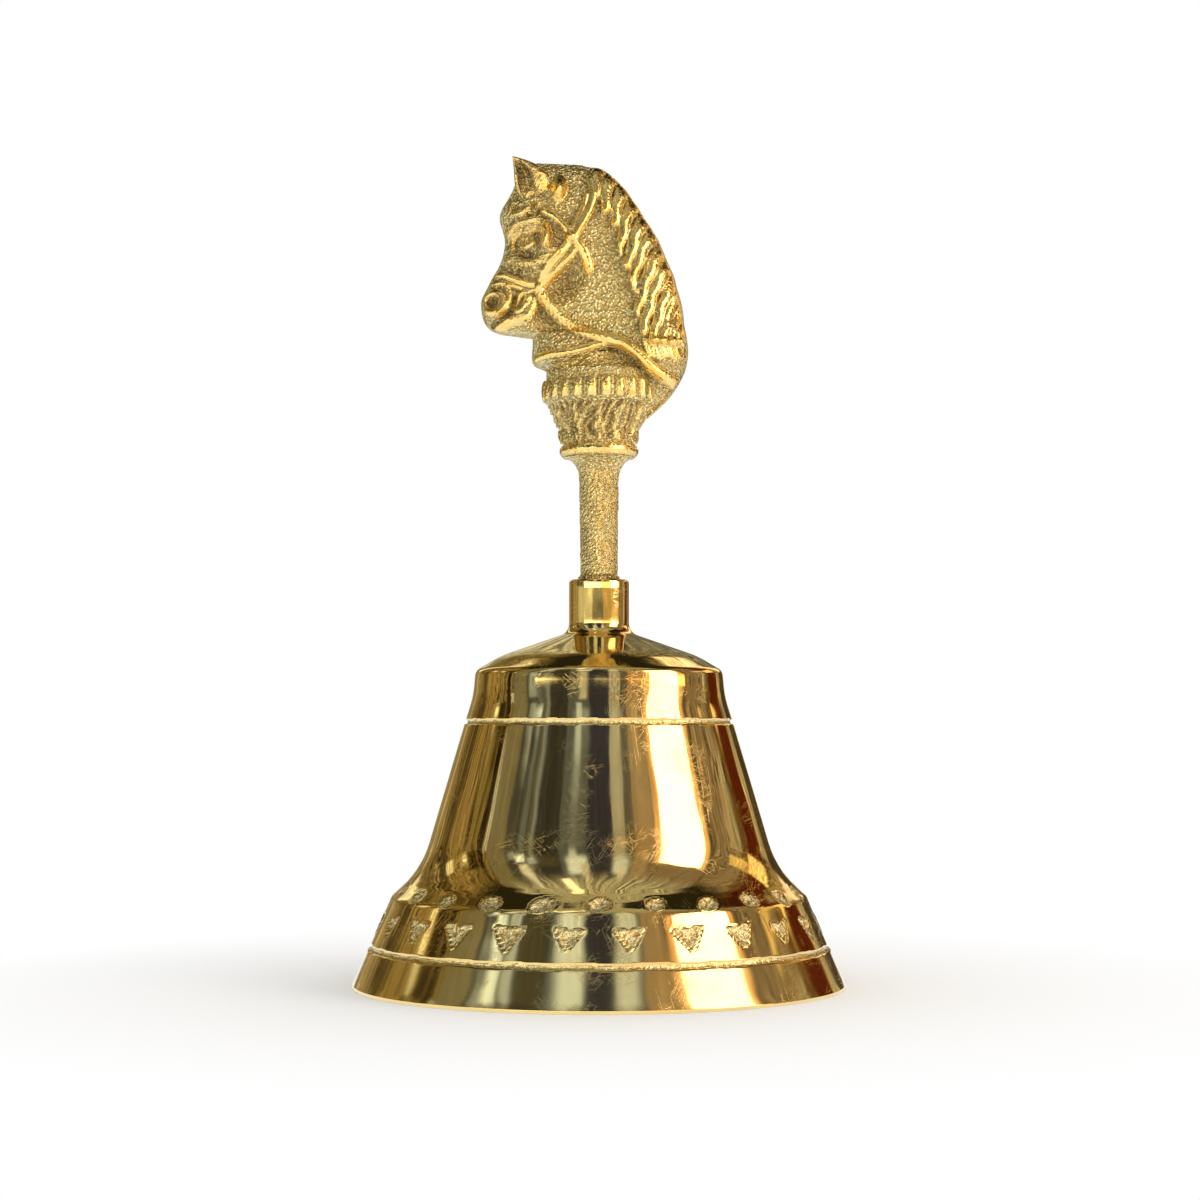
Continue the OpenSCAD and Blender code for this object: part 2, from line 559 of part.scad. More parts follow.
// Everything of the handle that is round about the axis
module stem_and_capital() {
    bead_r = bead_d / 2;
    side_round = bead_h / 2;
    profile = concat(
        [[0, neck_top_h - spigot_len], [spigot_d / 2, neck_top_h - spigot_len], [spigot_d / 2, neck_top_h]],
        [[collar_d / 2, neck_top_h], [collar_d / 2, neck_top_h + collar_h * 0.45]],
        [for (w = [0:22.5:90]) [stem_foot_d / 2 + (collar_d - stem_foot_d) / 2 * (1 - sin(w)),
                                neck_top_h + collar_h * (0.45 + 0.55 * (1 - cos(w)))]],
        [for (w = [0:15:90]) [stem_top_d / 2 + (bead_r - bead_lap - stem_top_d / 2) * (1 - cos(w)),
                              cove_z + cove_h * sin(w)]],
        [for (w = [-90:22.5:90]) [bead_r - side_round + side_round * cos(w), bead_z + side_round * (1 + sin(w))]],
        [for (k = [0:7]) basket_point(k == 0 ? 0.3 : basket_foot_h + (basket_h - basket_foot_h) * (k - 1) / 6)],
        [for (w = [-90:22.5:90]) [flute_ring_d / 2 - ring_round * (1 - cos(w)),
                                  ring_z + flute_ring_h / 2 * (1 + sin(w))]],
        [[throat_d / 2, throat_z]],
        [for (w = [0:22.5:90]) [cove_top_d / 2 + (throat_d - cove_top_d) / 2 * (1 - sin(w)),
                                head_z + cove_top_h * (1 - cos(w))]],
        [[0, head_z + cove_top_h]]);
    rotate_extrude($fn = 96) polygon(profile);
}

// Upright channels that leave the flutes standing on the ring
module flute_cuts() {
    for (i = [0:flute_count - 1])
        rotate([0, 0, 360 * (i + 0.5) / flute_count])
            translate([flute_ring_d / 2 + flute_cut_w * 0.1, 0, ring_z - 0.2])
                cylinder(d = flute_cut_w, h = flute_ring_h + 0.4, $fn = 16);
}

// Channels that part the leaves, each in two runs down the basket's flank
module leaf_cuts() {
    marks = [basket_point(0.4), basket_point(basket_foot_h), basket_point(basket_h * 0.93)];
    for (i = [0:leaf_count - 1])
        rotate([0, 0, 360 * i / leaf_count])
            for (k = [0, 1]) {
                run = marks[k + 1] - marks[k];
                translate([marks[k][0] + leaf_cut_w * 0.15, 0, marks[k][1]])
                    rotate([0, atan2(run[0], run[1]), 0])
                        cylinder(d = leaf_cut_w, h = norm(run) * 0.97, $fn = 16);
            }
}

// Stud screwed up through the crown into the spigot, with an eye below
module eye_bolt() {
    shank_top = neck_top_h - spigot_len + thread_len - thread_end_gap;
    shank_z = eye_z + eye_r + eye_wire_d * 0.3;
    color([0.62, 0.6, 0.55])
    union() {
        translate([0, 0, shank_z]) cylinder(r = thread_r, h = shank_top - shank_z);
        translate([0, 0, eye_z]) rotate([90, 0, 90])
            rotate_extrude() translate([eye_r, 0]) circle(d = eye_wire_d, $fn = 32);
    }
}

// Plain washer under the crown
module crown_washer() {
    color([0.72, 0.7, 0.66])
    translate([0, 0, washer_z]) difference() {
        cylinder(d = washer_d, h = washer_t);
        translate([0, 0, -cut_over]) cylinder(r = thread_r + thread_gap, h = washer_t + 2 * cut_over);
    }
}

// Hexagon nut that locks the stud, its corners turned off on both faces
module lock_nut() {
    corner_d = nut_af / cos(30);
    color([0.66, 0.64, 0.6])
    translate([0, 0, nut_z]) difference() {
        intersection() {
            cylinder(d = corner_d, h = nut_h, $fn = 6);
            rotate_extrude() polygon([[0, 0], [nut_af / 2, 0], [corner_d / 2 + 0.1, 0.35],
                [corner_d / 2 + 0.1, nut_h - 0.35], [nut_af / 2, nut_h], [0, nut_h]]);
        }
        translate([0, 0, -cut_over]) cylinder(r = thread_r + thread_gap, h = nut_h + 2 * cut_over);
    }
}

// Closed oval link of bent wire, in the plane of the picture
module clapper_link() {
    bend_r = link_w / 2;
    straight = link_len - link_w;
    color([0.78, 0.76, 0.72])
    translate([0, 0, link_z]) rotate([90, 0, 0]) union() {
        for (end = [0, 1])
            rotate([0, 0, 180 * end]) translate([0, straight / 2, 0])
                rotate_extrude(angle = 180) translate([bend_r, 0]) circle(d = link_wire_d, $fn = 32);
        for (side = [-1, 1])
            translate([side * bend_r, straight / 2, 0]) rotate([90, 0, 0])
                cylinder(d = link_wire_d, h = straight, $fn = 32);
    }
}

// Wire rod with a closed loop on top and its foot peened under the ball
module clapper_rod() {
    loop_r = rod_loop_d / 2;
    foot_z = ball_foot_z - peen_h;
    color([0.7, 0.68, 0.64])
    union() {
        translate([0, 0, rod_loop_z]) rotate([90, 0, 90])
            rotate_extrude() translate([loop_r, 0]) circle(d = rod_wire_d, $fn = 32);
        translate([0, 0, foot_z]) cylinder(d = rod_wire_d, h = rod_loop_z - loop_r - foot_z, $fn = 32);
        translate([0, 0, foot_z]) rotate_extrude($fn = 32)
            polygon([[0, 0], [peen_d * 0.35, 0], [peen_d / 2, peen_h * 0.45], [peen_d / 2, peen_h], [0, peen_h]]);
    }
}

// Turned brass ball, drilled through for the rod and faced below for the peened foot
module clapper_ball() {
    color([0.84, 0.62, 0.24])
    difference() {
        translate([0, 0, ball_h]) sphere(d = ball_d);
        translate([0, 0, ball_foot_z - cut_over])
            cylinder(d = rod_wire_d + 2 * ball_gap, h = ball_d + 2 * cut_over, $fn = 32);
        translate([0, 0, ball_foot_z - ball_d]) cylinder(d = ball_d, h = ball_d);
    }
}

bell_shell();
handle();
eye_bolt();
crown_washer();
lock_nut();
clapper_link();
clapper_rod();
clapper_ball();
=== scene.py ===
import math
import random

import bpy
import numpy as np
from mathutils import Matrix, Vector


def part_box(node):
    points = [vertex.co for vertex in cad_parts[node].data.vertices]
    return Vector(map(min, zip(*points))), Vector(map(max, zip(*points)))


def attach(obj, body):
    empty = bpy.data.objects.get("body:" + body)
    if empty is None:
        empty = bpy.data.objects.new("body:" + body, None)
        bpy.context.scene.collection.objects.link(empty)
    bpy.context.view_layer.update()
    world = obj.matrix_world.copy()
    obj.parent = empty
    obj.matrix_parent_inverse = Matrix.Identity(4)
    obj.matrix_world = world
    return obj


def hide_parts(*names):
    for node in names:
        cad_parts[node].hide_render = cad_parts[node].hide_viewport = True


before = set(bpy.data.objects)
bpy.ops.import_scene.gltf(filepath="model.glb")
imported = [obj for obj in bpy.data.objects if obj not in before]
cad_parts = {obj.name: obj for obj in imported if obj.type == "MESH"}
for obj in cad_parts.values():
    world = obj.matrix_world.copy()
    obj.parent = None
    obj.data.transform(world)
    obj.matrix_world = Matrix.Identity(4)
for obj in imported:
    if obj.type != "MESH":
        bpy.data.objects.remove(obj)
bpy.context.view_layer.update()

# Camera at the photograph's place: 37 cm in front of the bell, a hand's breadth over the table,
# looking a little upwards, with a lens that takes in the bell and the white round it.
mm = 0.001
camera_place = Vector((0.15, -369, 40)) * mm
camera_aim = Vector((0.15, 0, 58.9)) * mm
camera_data = bpy.data.cameras.new("camera")
camera_data.lens = 72
camera_data.clip_start = 0.01
camera = bpy.data.objects.new("camera", camera_data)
bpy.context.scene.collection.objects.link(camera)
camera.location = camera_place
camera.rotation_euler = (camera_aim - camera_place).to_track_quat("-Z", "Y").to_euler()
bpy.context.scene.camera = camera
bpy.context.scene.view_settings.view_transform = "Standard"

# Bell: cast in brass in one with its neck, turned inside and out and polished to a mirror. Two grooves
# go round it, one under the shoulder and one above the lip, and two rows of hollows are struck in
# between the lip groove and the flare. Their floors keep the rough, bright skin of the casting.
lip_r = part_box("bell_shell")[1].x / mm
neck_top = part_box("bell_shell")[1].z / mm
lip_edge, lip_flat = 0.5, 2.0
break_r, break_z = 31.7, 13.6
waist_r, waist_z = 27.1, 17.8
step_r, step_z = 20.5, 40.2
shoulder_r, shoulder_z = 18.95, 48
dome_r, dome_z = 15, 50.3
neck_r, neck_foot = 4.6, 53.9
bore_r, bore_floor = 2.85, 52.3
crown_under, stud_hole_r = 49.3, 1.54
groove_rows, groove_deep = ((step_z, 0.38), (6.2, 0.44)), 0.4
hollows_round, columns_each = 24, 20
dot_z, dot_r, dot_deep = 14.4, 1.7, 0.5
tri_z, tri_half, tri_deep = 10.1, 2.4, 0.5
cone_tilt = math.atan2(lip_r - break_r, break_z - lip_edge)
flare_tilt = math.atan2(break_r - waist_r, waist_z - break_z)
groove_margin = 0.25
groove_pitch, hollow_pitch, plain_pitch, inside_pitch = 0.14, 0.36, 1.2, 3


def rounded(corners, step):
    """Points of an outline through corners (r, z, rounding), with an arc at each rounded one."""
    line = []
    for i, (r, z, rounding) in enumerate(corners):
        here = Vector((r, z))
        if rounding == 0 or i in (0, len(corners) - 1):
            line.append(here)
            continue
        back = (Vector(corners[i - 1][:2]) - here).normalized()
        ahead = (Vector(corners[i + 1][:2]) - here).normalized()
        half = back.angle(ahead) / 2
        middle = here + (back + ahead).normalized() * rounding / math.sin(half)
        first = here + back * rounding / math.tan(half) - middle
        last = here + ahead * rounding / math.tan(half) - middle
        sweep = first.angle_signed(last)
        # small arcs need only a few points
        steps = max(3, math.ceil(math.degrees(abs(sweep)) / (step if rounding > 1 else 3 * step)))
        for k in range(steps + 1):
            a = -sweep * k / steps
            line.append(middle + Vector((first.x * math.cos(a) - first.y * math.sin(a),
                                         first.x * math.sin(a) + first.y * math.cos(a))))
    return line


def cut_at(line, heights):
    """The same outline with a point added wherever it crosses one of the heights."""
    cut = [line[0]]
    for a, b in zip(line, line[1:]):
        crossed = [z for z in heights if min(a.y, b.y) < z < max(a.y, b.y)]
        cut += [a.lerp(b, (z - a.y) / (b.y - a.y)) for z in sorted(crossed, reverse=b.y < a.y)] + [b]
    return cut


def close_set(line, pitch):
    """The same outline with points no further apart than pitch allows there."""
    dense = [line[0]]
    for a, b in zip(line, line[1:]):
        parts = max(1, math.ceil((b - a).length / pitch((a + b) / 2)))
        dense += [a.lerp(b, (k + 1) / parts) for k in range(parts)]
    return dense


def turned(name, line, steps, closed=False):
    """A turned piece: one point drawn out along the outline, then turned about the axis."""
    bpy.ops.mesh.primitive_plane_add(size=mm, location=(0, 0, 0))
    piece = bpy.context.object
    piece.name = piece.data.name = name
    bpy.ops.object.mode_set(mode="EDIT")
    bpy.ops.mesh.merge(type="CENTER")
    bpy.ops.transform.translate(value=(line[0].x * mm, 0, line[0].y * mm))
    ends = line[1:] + ([line[0]] if closed else [])
    for a, b in zip(line, ends):
        bpy.ops.mesh.extrude_vertices_move(
            TRANSFORM_OT_translate={"value": ((b.x - a.x) * mm, 0, (b.y - a.y) * mm)})
    bpy.ops.mesh.select_all(action="SELECT")
    bpy.ops.mesh.remove_doubles(threshold=0.001 * mm)
    bpy.ops.object.mode_set(mode="OBJECT")
    lathe = piece.modifiers.new("lathe", "SCREW")
    lathe.axis = "Z"
    lathe.angle = math.tau
    lathe.steps = lathe.render_steps = steps
    lathe.use_merge_vertices = True
    lathe.merge_threshold = 0.001 * mm
    bpy.ops.object.modifier_apply(modifier=lathe.name)
    bpy.ops.object.mode_set(mode="EDIT")
    bpy.ops.mesh.select_all(action="SELECT")
    bpy.ops.mesh.remove_doubles(threshold=0.001 * mm)
    bpy.ops.mesh.normals_make_consistent(inside=False)
    bpy.ops.object.mode_set(mode="OBJECT")
    bpy.ops.object.shade_smooth()
    return piece


def points_of(piece):
    """Vertex places of a piece, in mm, and the unit normals there."""
    places = np.zeros(len(piece.data.vertices) * 3)
    normals = np.zeros(len(piece.data.vertices) * 3)
    piece.data.vertices.foreach_get("co", places)
    piece.data.vertices.foreach_get("normal", normals)
    return places.reshape(-1, 3) / mm, normals.reshape(-1, 3)


def set_points(piece, places):
    """Moves the vertices of a piece to places, given in mm."""
    piece.data.vertices.foreach_set("co", (places * mm).ravel())
    piece.data.update()


def mark(piece, name, values):
    """Keeps one number at each vertex for the material to read."""
    attribute = piece.data.attributes.new(name, "FLOAT", "POINT")
    attribute.data.foreach_set("value", np.asarray(values, dtype=np.float32))


def ease(x):
    """Smooth step from 0 to 1 while x goes from 0 to 1."""
    x = np.clip(x, 0, 1)
    return x * x * (3 - 2 * x)


def grit(x, y, pitch, seed):
    """Smooth random heights between 0 and 1 with features of one pitch, always the same."""
    table = np.random.default_rng(seed).random((257, 257))
    gx, gy = x / pitch, y / pitch
    ix, iy = np.floor(gx).astype(int), np.floor(gy).astype(int)
    fx, fy = ease(gx - ix), ease(gy - iy)
    a, b = table[ix % 257, iy % 257], table[(ix + 1) % 257, iy % 257]
    c, d = table[ix % 257, (iy + 1) % 257], table[(ix + 1) % 257, (iy + 1) % 257]
    return (a * (1 - fx) + b * fx) * (1 - fy) + (c * (1 - fx) + d * fx) * fy


outside = rounded([
    (lip_r - lip_flat, 0, 0), (lip_r, 0, 0.3), (lip_r, lip_edge, 0.3), (break_r, break_z, 2),
    (waist_r, waist_z, 15), (step_r, step_z, 0), (19.3, 44.1, 14), (shoulder_r, shoulder_z, 1.4),
    (dome_r, dome_z, 14), (neck_r, neck_foot, 2), (neck_r, neck_top, 0.5), (bore_r, neck_top, 0)], 5)
inside = rounded([
    (stud_hole_r, crown_under, 0), (8.5, crown_under, 3), (16.6, 46.6, 2.6), (17.2, 43.6, 12), (18.2, 40, 12),
    (24.8, 17.2, 13), (29.6, 12.8, 1.5), (lip_r - 2.3, 0.3, 0), (lip_r - lip_flat, 0, 0)], 9)


def bell_pitch(p):
    """Close rows where something is cut into the bell, wide ones elsewhere."""
    if any(abs(p.y - z) < half + groove_margin for z, half in groove_rows):
        return groove_pitch
    return hollow_pitch if tri_z - 3.1 <= p.y < dot_z + 2 else plain_pitch


inside = close_set(inside, lambda p: inside_pitch)
outside = cut_at(outside, [z + side * (half + groove_margin) for z, half in groove_rows for side in (-1, 1)])
outside = close_set(outside, bell_pitch)
bell = turned("bell", outside + [Vector((bore_r, bore_floor)), Vector((stud_hole_r, bore_floor))]
              + inside[:-1], columns_each * hollows_round, closed=True)

places, normals = points_of(bell)
radius = np.hypot(places[:, 0], places[:, 1])
turn = np.degrees(np.arctan2(places[:, 1], places[:, 0])) + 90
height = places[:, 2]
outer = (normals[:, 0] * places[:, 0] + normals[:, 1] * places[:, 1] > 0) & (height < neck_top - 1)
sunk = np.zeros(len(places))
cast_skin = np.zeros(len(places))
wobble = 0.08 * np.sin(np.radians(turn * 23)) + 0.06 * np.sin(np.radians(turn * 61 + 40))
for z, half in groove_rows:
    across = np.abs((height - z) / half + wobble)
    sunk = np.where(outer & (across < 1), groove_deep * np.sqrt(1 - np.clip(across, 0, 1) ** 2), sunk)
    cast_skin = np.maximum(cast_skin, outer * (0.55 - 0.55 * ease((across - 0.5) / 0.4)))

hand = random.Random(24)
for i in range(hollows_round):
    # a round hollow, each struck a little differently
    size, lean = hand.uniform(0.86, 1.1), math.radians(hand.uniform(-35, 35))
    long_way, drop = hand.uniform(1.0, 1.2), hand.uniform(-0.12, 0.12)
    away = (turn - 360 * i / hollows_round + 180) % 360 - 180
    s = np.radians(away) * radius
    t = (height - dot_z - drop) / math.cos(flare_tilt)
    along = (s * math.cos(lean) + t * math.sin(lean)) / (dot_r * size * long_way)
    upward = (t * math.cos(lean) - s * math.sin(lean)) / (dot_r * size * 0.86)
    d = np.hypot(along, upward)
    near = outer & (d < 1.35)
    sunk = np.where(near, np.maximum(sunk, dot_deep * ease((1 - d) / 0.62)), sunk)
    sunk = np.where(near & (d > 0.95), sunk - 0.035 * ease((1.35 - d) / 0.2) * ease((d - 0.95) / 0.15), sunk)
    cast_skin = np.maximum(cast_skin, near * ease((1.02 - d) / 0.25))
    # a three-sided hollow, point down, half a step further round
    size, lean = hand.uniform(0.88, 1.08), math.radians(hand.uniform(-8, 8))
    away = (turn - 360 * (i + 0.5) / hollows_round + 180) % 360 - 180
    s = np.radians(away) * radius
    t = (height - tri_z) / math.cos(cone_tilt)
    s, t = s * math.cos(lean) + t * math.sin(lean), t * math.cos(lean) - s * math.sin(lean)
    half = tri_half * size
    notch = 0.3 * np.exp(-(s / (0.3 * half)) ** 2)
    rim = np.minimum(0.58 * half - notch - t, (t + 0.98 * half - 1.55 * np.abs(s)) * 0.54)
    near = outer & (np.abs(s) < half * 1.2) & (np.abs(t) < half * 1.3)
    sunk = np.where(near, np.maximum(sunk, tri_deep * ease(rim / 0.55)), sunk)
    cast_skin = np.maximum(cast_skin, near * ease((rim + 0.1) / 0.3))
# rough floors: lumps, and a finer grit that is new in each column
lumps = grit(np.radians(turn) * radius + 40, height, 0.8, 3) - 0.75
lumps += 0.5 * grit(radius * turn, height, 0.45, 4)
sunk += 0.2 * lumps * cast_skin * (sunk > 0.08)
set_points(bell, places - normals * sunk[:, None])
mark(bell, "cast_skin", cast_skin)


def node_of(tree, kind, **settings):
    """A node with its settings and the values of its unlinked sockets."""
    node = tree.nodes.new(kind)
    for key, value in settings.items():
        if hasattr(node, key):
            setattr(node, key, value)
        else:
            node.inputs[key.replace("_", " ")].default_value = value
    return node


def ramp(tree, factor, stops):
    """A colour ramp over factor with stops of (place, grey or colour)."""
    node = tree.nodes.new("ShaderNodeValToRGB")
    tree.links.new(factor, node.inputs[0])
    elements = node.color_ramp.elements
    for i, (place, colour) in enumerate(stops):
        element = elements[i] if i < 2 else elements.new(place)
        element.position = place
        element.color = (colour, colour, colour, 1) if isinstance(colour, (int, float)) else (*colour, 1)
    return node.outputs[0]


def blend_of(tree, factor, first, second, kind="MIX"):
    """Mixes two colours by factor. Each may be a socket or a fixed colour."""
    node = tree.nodes.new("ShaderNodeMix")
    node.data_type = "RGBA"
    node.blend_type = kind
    for socket, value in ((node.inputs[0], factor), (node.inputs[6], first), (node.inputs[7], second)):
        if isinstance(value, bpy.types.NodeSocket):
            tree.links.new(value, socket)
        else:
            socket.default_value = value if isinstance(value, (int, float)) else (*value, 1)
    return node.outputs[2]


def sum_of(tree, first, second, kind="ADD"):
    """Adds two numbers or sockets, or puts them together in another way."""
    node = tree.nodes.new("ShaderNodeMath")
    node.operation = kind
    for socket, value in zip(node.inputs, (first, second)):
        if isinstance(value, bpy.types.NodeSocket):
            tree.links.new(value, socket)
        else:
            socket.default_value = value
    return node.outputs[0]


def times(tree, first, second):
    """Multiplies two numbers or sockets."""
    return sum_of(tree, first, second, "MULTIPLY")


def noise_of(tree, where, scale, stretch=(1, 1, 1), turn=(0, 0, 0), detail=3, rough=0.5):
    """Noise in mm-sized features along Object coordinates, stretched and turned if asked."""
    mapping = node_of(tree, "ShaderNodeMapping", vector_type="TEXTURE")
    mapping.inputs["Rotation"].default_value = [math.radians(a) for a in turn]
    mapping.inputs["Scale"].default_value = [1 / a for a in stretch]
    tree.links.new(where, mapping.inputs["Vector"])
    noise = node_of(tree, "ShaderNodeTexNoise", Scale=1 / (scale * mm), Detail=detail, Roughness=rough)
    tree.links.new(mapping.outputs[0], noise.inputs["Vector"])
    return noise.outputs["Fac"]


def metal(name, colour, roughness):
    """A new metal with its Principled shader, ready for its own colour, wear and bump."""
    material = bpy.data.materials.new(name)
    material.use_nodes = True
    tree = material.node_tree
    shader = tree.nodes["Principled BSDF"]
    shader.inputs["Base Color"].default_value = (*colour, 1)
    shader.inputs["Metallic"].default_value = 1
    shader.inputs["Roughness"].default_value = roughness
    where = tree.nodes.new("ShaderNodeTexCoord").outputs["Object"]
    return material, tree, shader, where


def attribute_of(tree, name):
    """The number that mark() kept at each vertex."""
    node = tree.nodes.new("ShaderNodeAttribute")
    node.attribute_name = name
    return node.outputs["Fac"]


def bump_of(tree, shader, height, deep, below=None):
    """A bump of height over the shader's normal, deep in mm, on top of another bump."""
    node = tree.nodes.new("ShaderNodeBump")
    node.inputs["Distance"].default_value = deep * mm
    tree.links.new(height, node.inputs["Height"])
    if below is not None:
        tree.links.new(below, node.inputs["Normal"])
    tree.links.new(node.outputs[0], shader.inputs["Normal"])
    return node.outputs[0]


turned_brass, tree, shader, where = metal("turned_brass", (0.89, 0.69, 0.30), 0.06)
skin = attribute_of(tree, "cast_skin")
smudge = noise_of(tree, where, 14, detail=4, rough=0.6)
haze = noise_of(tree, where, 3.5, stretch=(1, 1, 0.35), detail=5, rough=0.65)
tarnish = blend_of(tree, ramp(tree, smudge, [(0.42, 0), (0.66, 1)]), (0.90, 0.70, 0.31), (0.86, 0.62, 0.24))
grain = noise_of(tree, where, 0.6, detail=4, rough=0.65)
sandy = blend_of(tree, ramp(tree, grain, [(0.40, 0), (0.54, 1)]), (0.55, 0.36, 0.10), (1.0, 0.90, 0.52))
tree.links.new(blend_of(tree, skin, tarnish, sandy), shader.inputs["Base Color"])
worn = ramp(tree, noise_of(tree, where, 7, detail=2), [(0.50, 0), (0.63, 1)])
hairs = None
for angle, lean, fine in ((38, 6, 1.0), (-52, -9, 1.3), (8, 20, 0.8), (74, 4, 1.2)):
    lines = noise_of(tree, where, 5.0 / fine, stretch=(60, 0.8, 1.4), turn=(lean, angle, lean * 3),
                     detail=0, rough=0)
    cut = ramp(tree, lines, [(0.725, 0), (0.75, 1)])
    hairs = cut if hairs is None else sum_of(tree, hairs, cut, "MAXIMUM")
hairs = times(tree, hairs, worn)
split = tree.nodes.new("ShaderNodeSeparateXYZ")
tree.links.new(where, split.inputs[0])
rubbed = ramp(tree, times(tree, split.outputs[2], 1 / 0.02), [(0.28, 0.10), (0.62, 0.04)])
polish = ramp(tree, haze, [(0.38, 0.03), (0.72, 0.12)])
polish = sum_of(tree, polish, rubbed, "MAXIMUM")
polish = sum_of(tree, polish, times(tree, hairs, 0.13), "MAXIMUM")
tree.links.new(blend_of(tree, skin, polish, (0.13, 0.13, 0.13)), shader.inputs["Roughness"])
tree.links.new(ramp(tree, skin, [(0.55, 1.0), (1, 0.88)]), shader.inputs["Metallic"])
lathe = noise_of(tree, where, 0.28, stretch=(0.004, 0.004, 1), detail=2)
waves = noise_of(tree, where, 11, detail=1)
ripples = noise_of(tree, where, 4, stretch=(1, 1, 0.5), detail=1)
uneven = bump_of(tree, shader, sum_of(tree, waves, times(tree, ripples, 0.22)), 0.10)
tooled = bump_of(tree, shader, lathe, 0.0006, uneven)
scratched = bump_of(tree, shader, hairs, -0.004, tooled)
bump_of(tree, shader, times(tree, grain, skin), 0.4, scratched)
bell.data.materials.append(turned_brass)
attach(bell, "bell")
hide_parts("bell_shell")

# Handle: one casting in brass, from the collar that seats on the bell's neck up through the stem and
# its capital to the horse's head. It keeps the sand's grain in every hollow, and only the high places
# (beads, flutes, bridle, rein, locks of the mane) were buffed bright. Stem and capital come first.
stem_foot_r, stem_top_r, stem_long = 2.85, 3.05, 15.6
spigot_r, spigot_shown = 2.8, 4
collar_r, collar_h = 3.2, 0.9
cove_z, cove_h = neck_top + stem_long, 3.2
bead_z, bead_r, bead_h = cove_z + cove_h, 6.1, 2.1
basket_z, basket_h, basket_r = bead_z + bead_h, 6.2, 7.9
basket_foot_r, basket_foot_h = 5.85, 2.2
ring_z, ring_h, ring_r = basket_z + basket_h, 3.6, 8.6
throat_r, throat_h = 8.1, 1.3
head_foot = ring_z + ring_h + throat_h
flutes, leaves = 24, 12


def quarter(r0, z0, r1, z1, hollow, steps):
    """Quarter of an ellipse from one point to the next, hollow at its start or at its end."""
    line = []
    for k in range(steps + 1):
        w = math.radians(90 * k / steps)
        f, g = (1 - math.cos(w), math.sin(w)) if hollow == "start" else (math.sin(w), 1 - math.cos(w))
        line.append((r0 + (r1 - r0) * f, z0 + (z1 - z0) * g))
    return line


spigot_foot = neck_top - spigot_shown
stem_line = [(0, spigot_foot), (spigot_r, spigot_foot), (spigot_r, neck_top), (collar_r, neck_top),
             (collar_r, neck_top + collar_h * 0.45)]
stem_line += quarter(collar_r, neck_top + collar_h * 0.5, stem_foot_r, neck_top + collar_h, "end", 4)
stem_line += quarter(stem_top_r, cove_z, bead_r - 0.6, bead_z, "start", 8)
stem_line += [(bead_r - bead_h / 2 * (1 - math.cos(w)), bead_z + bead_h / 2 * (1 + math.sin(w)))
              for w in map(math.radians, range(-80, 81, 20))]
stem_line += [(basket_foot_r, basket_z + 0.3)]
stem_line += [(basket_foot_r + (basket_r - basket_foot_r) * (k / 6) ** 0.9,
               basket_z + basket_foot_h + (basket_h - basket_foot_h) * k / 6) for k in range(7)]
stem_line += [(ring_r - 0.55 * (1 - math.cos(w)), ring_z + 0.12 + (ring_h - 0.12) / 2 * (1 + math.sin(w)))
              for w in map(math.radians, range(-90, 91, 15))]
stem_line += [(throat_r, ring_z + ring_h + 0.1)]
stem_line += quarter(throat_r, head_foot, 5.8, head_foot + 2.6, "end", 5)
stem_line = [Vector(p) for p in stem_line + [(0, head_foot + 2.6)]]
handle = turned("handle", close_set(stem_line, lambda p: 0.42 if p.y > 76 else 0.8), 192)

places, normals = points_of(handle)
radius = np.hypot(places[:, 0], places[:, 1])
turn = np.arctan2(places[:, 1], places[:, 0])
height = places[:, 2]
lift = np.zeros(len(places))
bright = np.zeros(len(places))
# flutes: narrow ribs with rounded ends on a smooth band
on_ring = ease((height - ring_z - 0.35) / 0.35) * ease((ring_z + ring_h - height) / 0.3) * (radius > 6)
across = (turn * flutes / math.tau) % 1 - 0.5
rib = np.clip(1 - (np.abs(across) / 0.30) ** 2, 0, 1) ** 0.5
groove = np.exp(-((np.abs(across) - 0.34) / 0.06) ** 2)
lift += on_ring * (0.35 * rib - 0.42 * groove)
bright += on_ring * (0.55 + 0.45 * rib - 0.7 * groove)
# leaves: blades and curls cut with a burin, standing in a rough ground
on_basket = ease((height - basket_z) / 0.5) * ease((ring_z - 0.1 - height) / 0.4) * (radius > 4)
up = np.clip((height - basket_z) / basket_h, 0, 1)
leaf = np.cos(turn * leaves)
blade = ease((leaf - 0.9 + 1.5 * (1 - up)) / 0.5)
vein = np.exp(-((1 - leaf) / 0.05) ** 2)
girth = turn * radius
warp = 1.5 * grit(girth, height, 1.9, 5) + 0.5 * grit(girth, height, 0.8, 6)
strokes = np.sin(math.tau * (girth + 0.25 * height + warp) / 1.25)
strokes *= 0.45 + 0.55 * grit(girth + 20, height * 0.6, 0.9, 7)
lift += on_basket * (0.35 * (blade - 0.9) + 0.2 * vein + 0.38 * strokes)
bright += on_basket * (0.85 * ease((strokes + 0.3 * vein - 0.12) / 0.35) * (0.5 + 0.5 * blade))
bead = np.exp(-((height - bead_z - bead_h / 2) / (bead_h * 0.42)) ** 4) * (radius > 5)
bright += 0.95 * bead
collar = ease((neck_top + collar_h - height) / 0.4) * (height > neck_top - 0.1)
skin_across = turn * np.maximum(radius, 2.5) + 40
sand = grit(skin_across, height, 0.38, 11) + 0.6 * grit(skin_across, height, 0.2, 12) - 0.8
shown = (height > neck_top + 0.1) & (radius > 2)
on_stem = shown & (height < cove_z + 1.5)
bright += on_stem * 0.35 * (1 - collar)
lift += shown * 0.13 * sand * (1 - 0.75 * np.clip(bright, 0, 1))
dents = grit(turn * 3 + 9, height, 1.6, 21)
lift -= on_stem * 0.16 * ease((dents - 0.45) / 0.4)
set_points(handle, places + normals * lift[:, None])
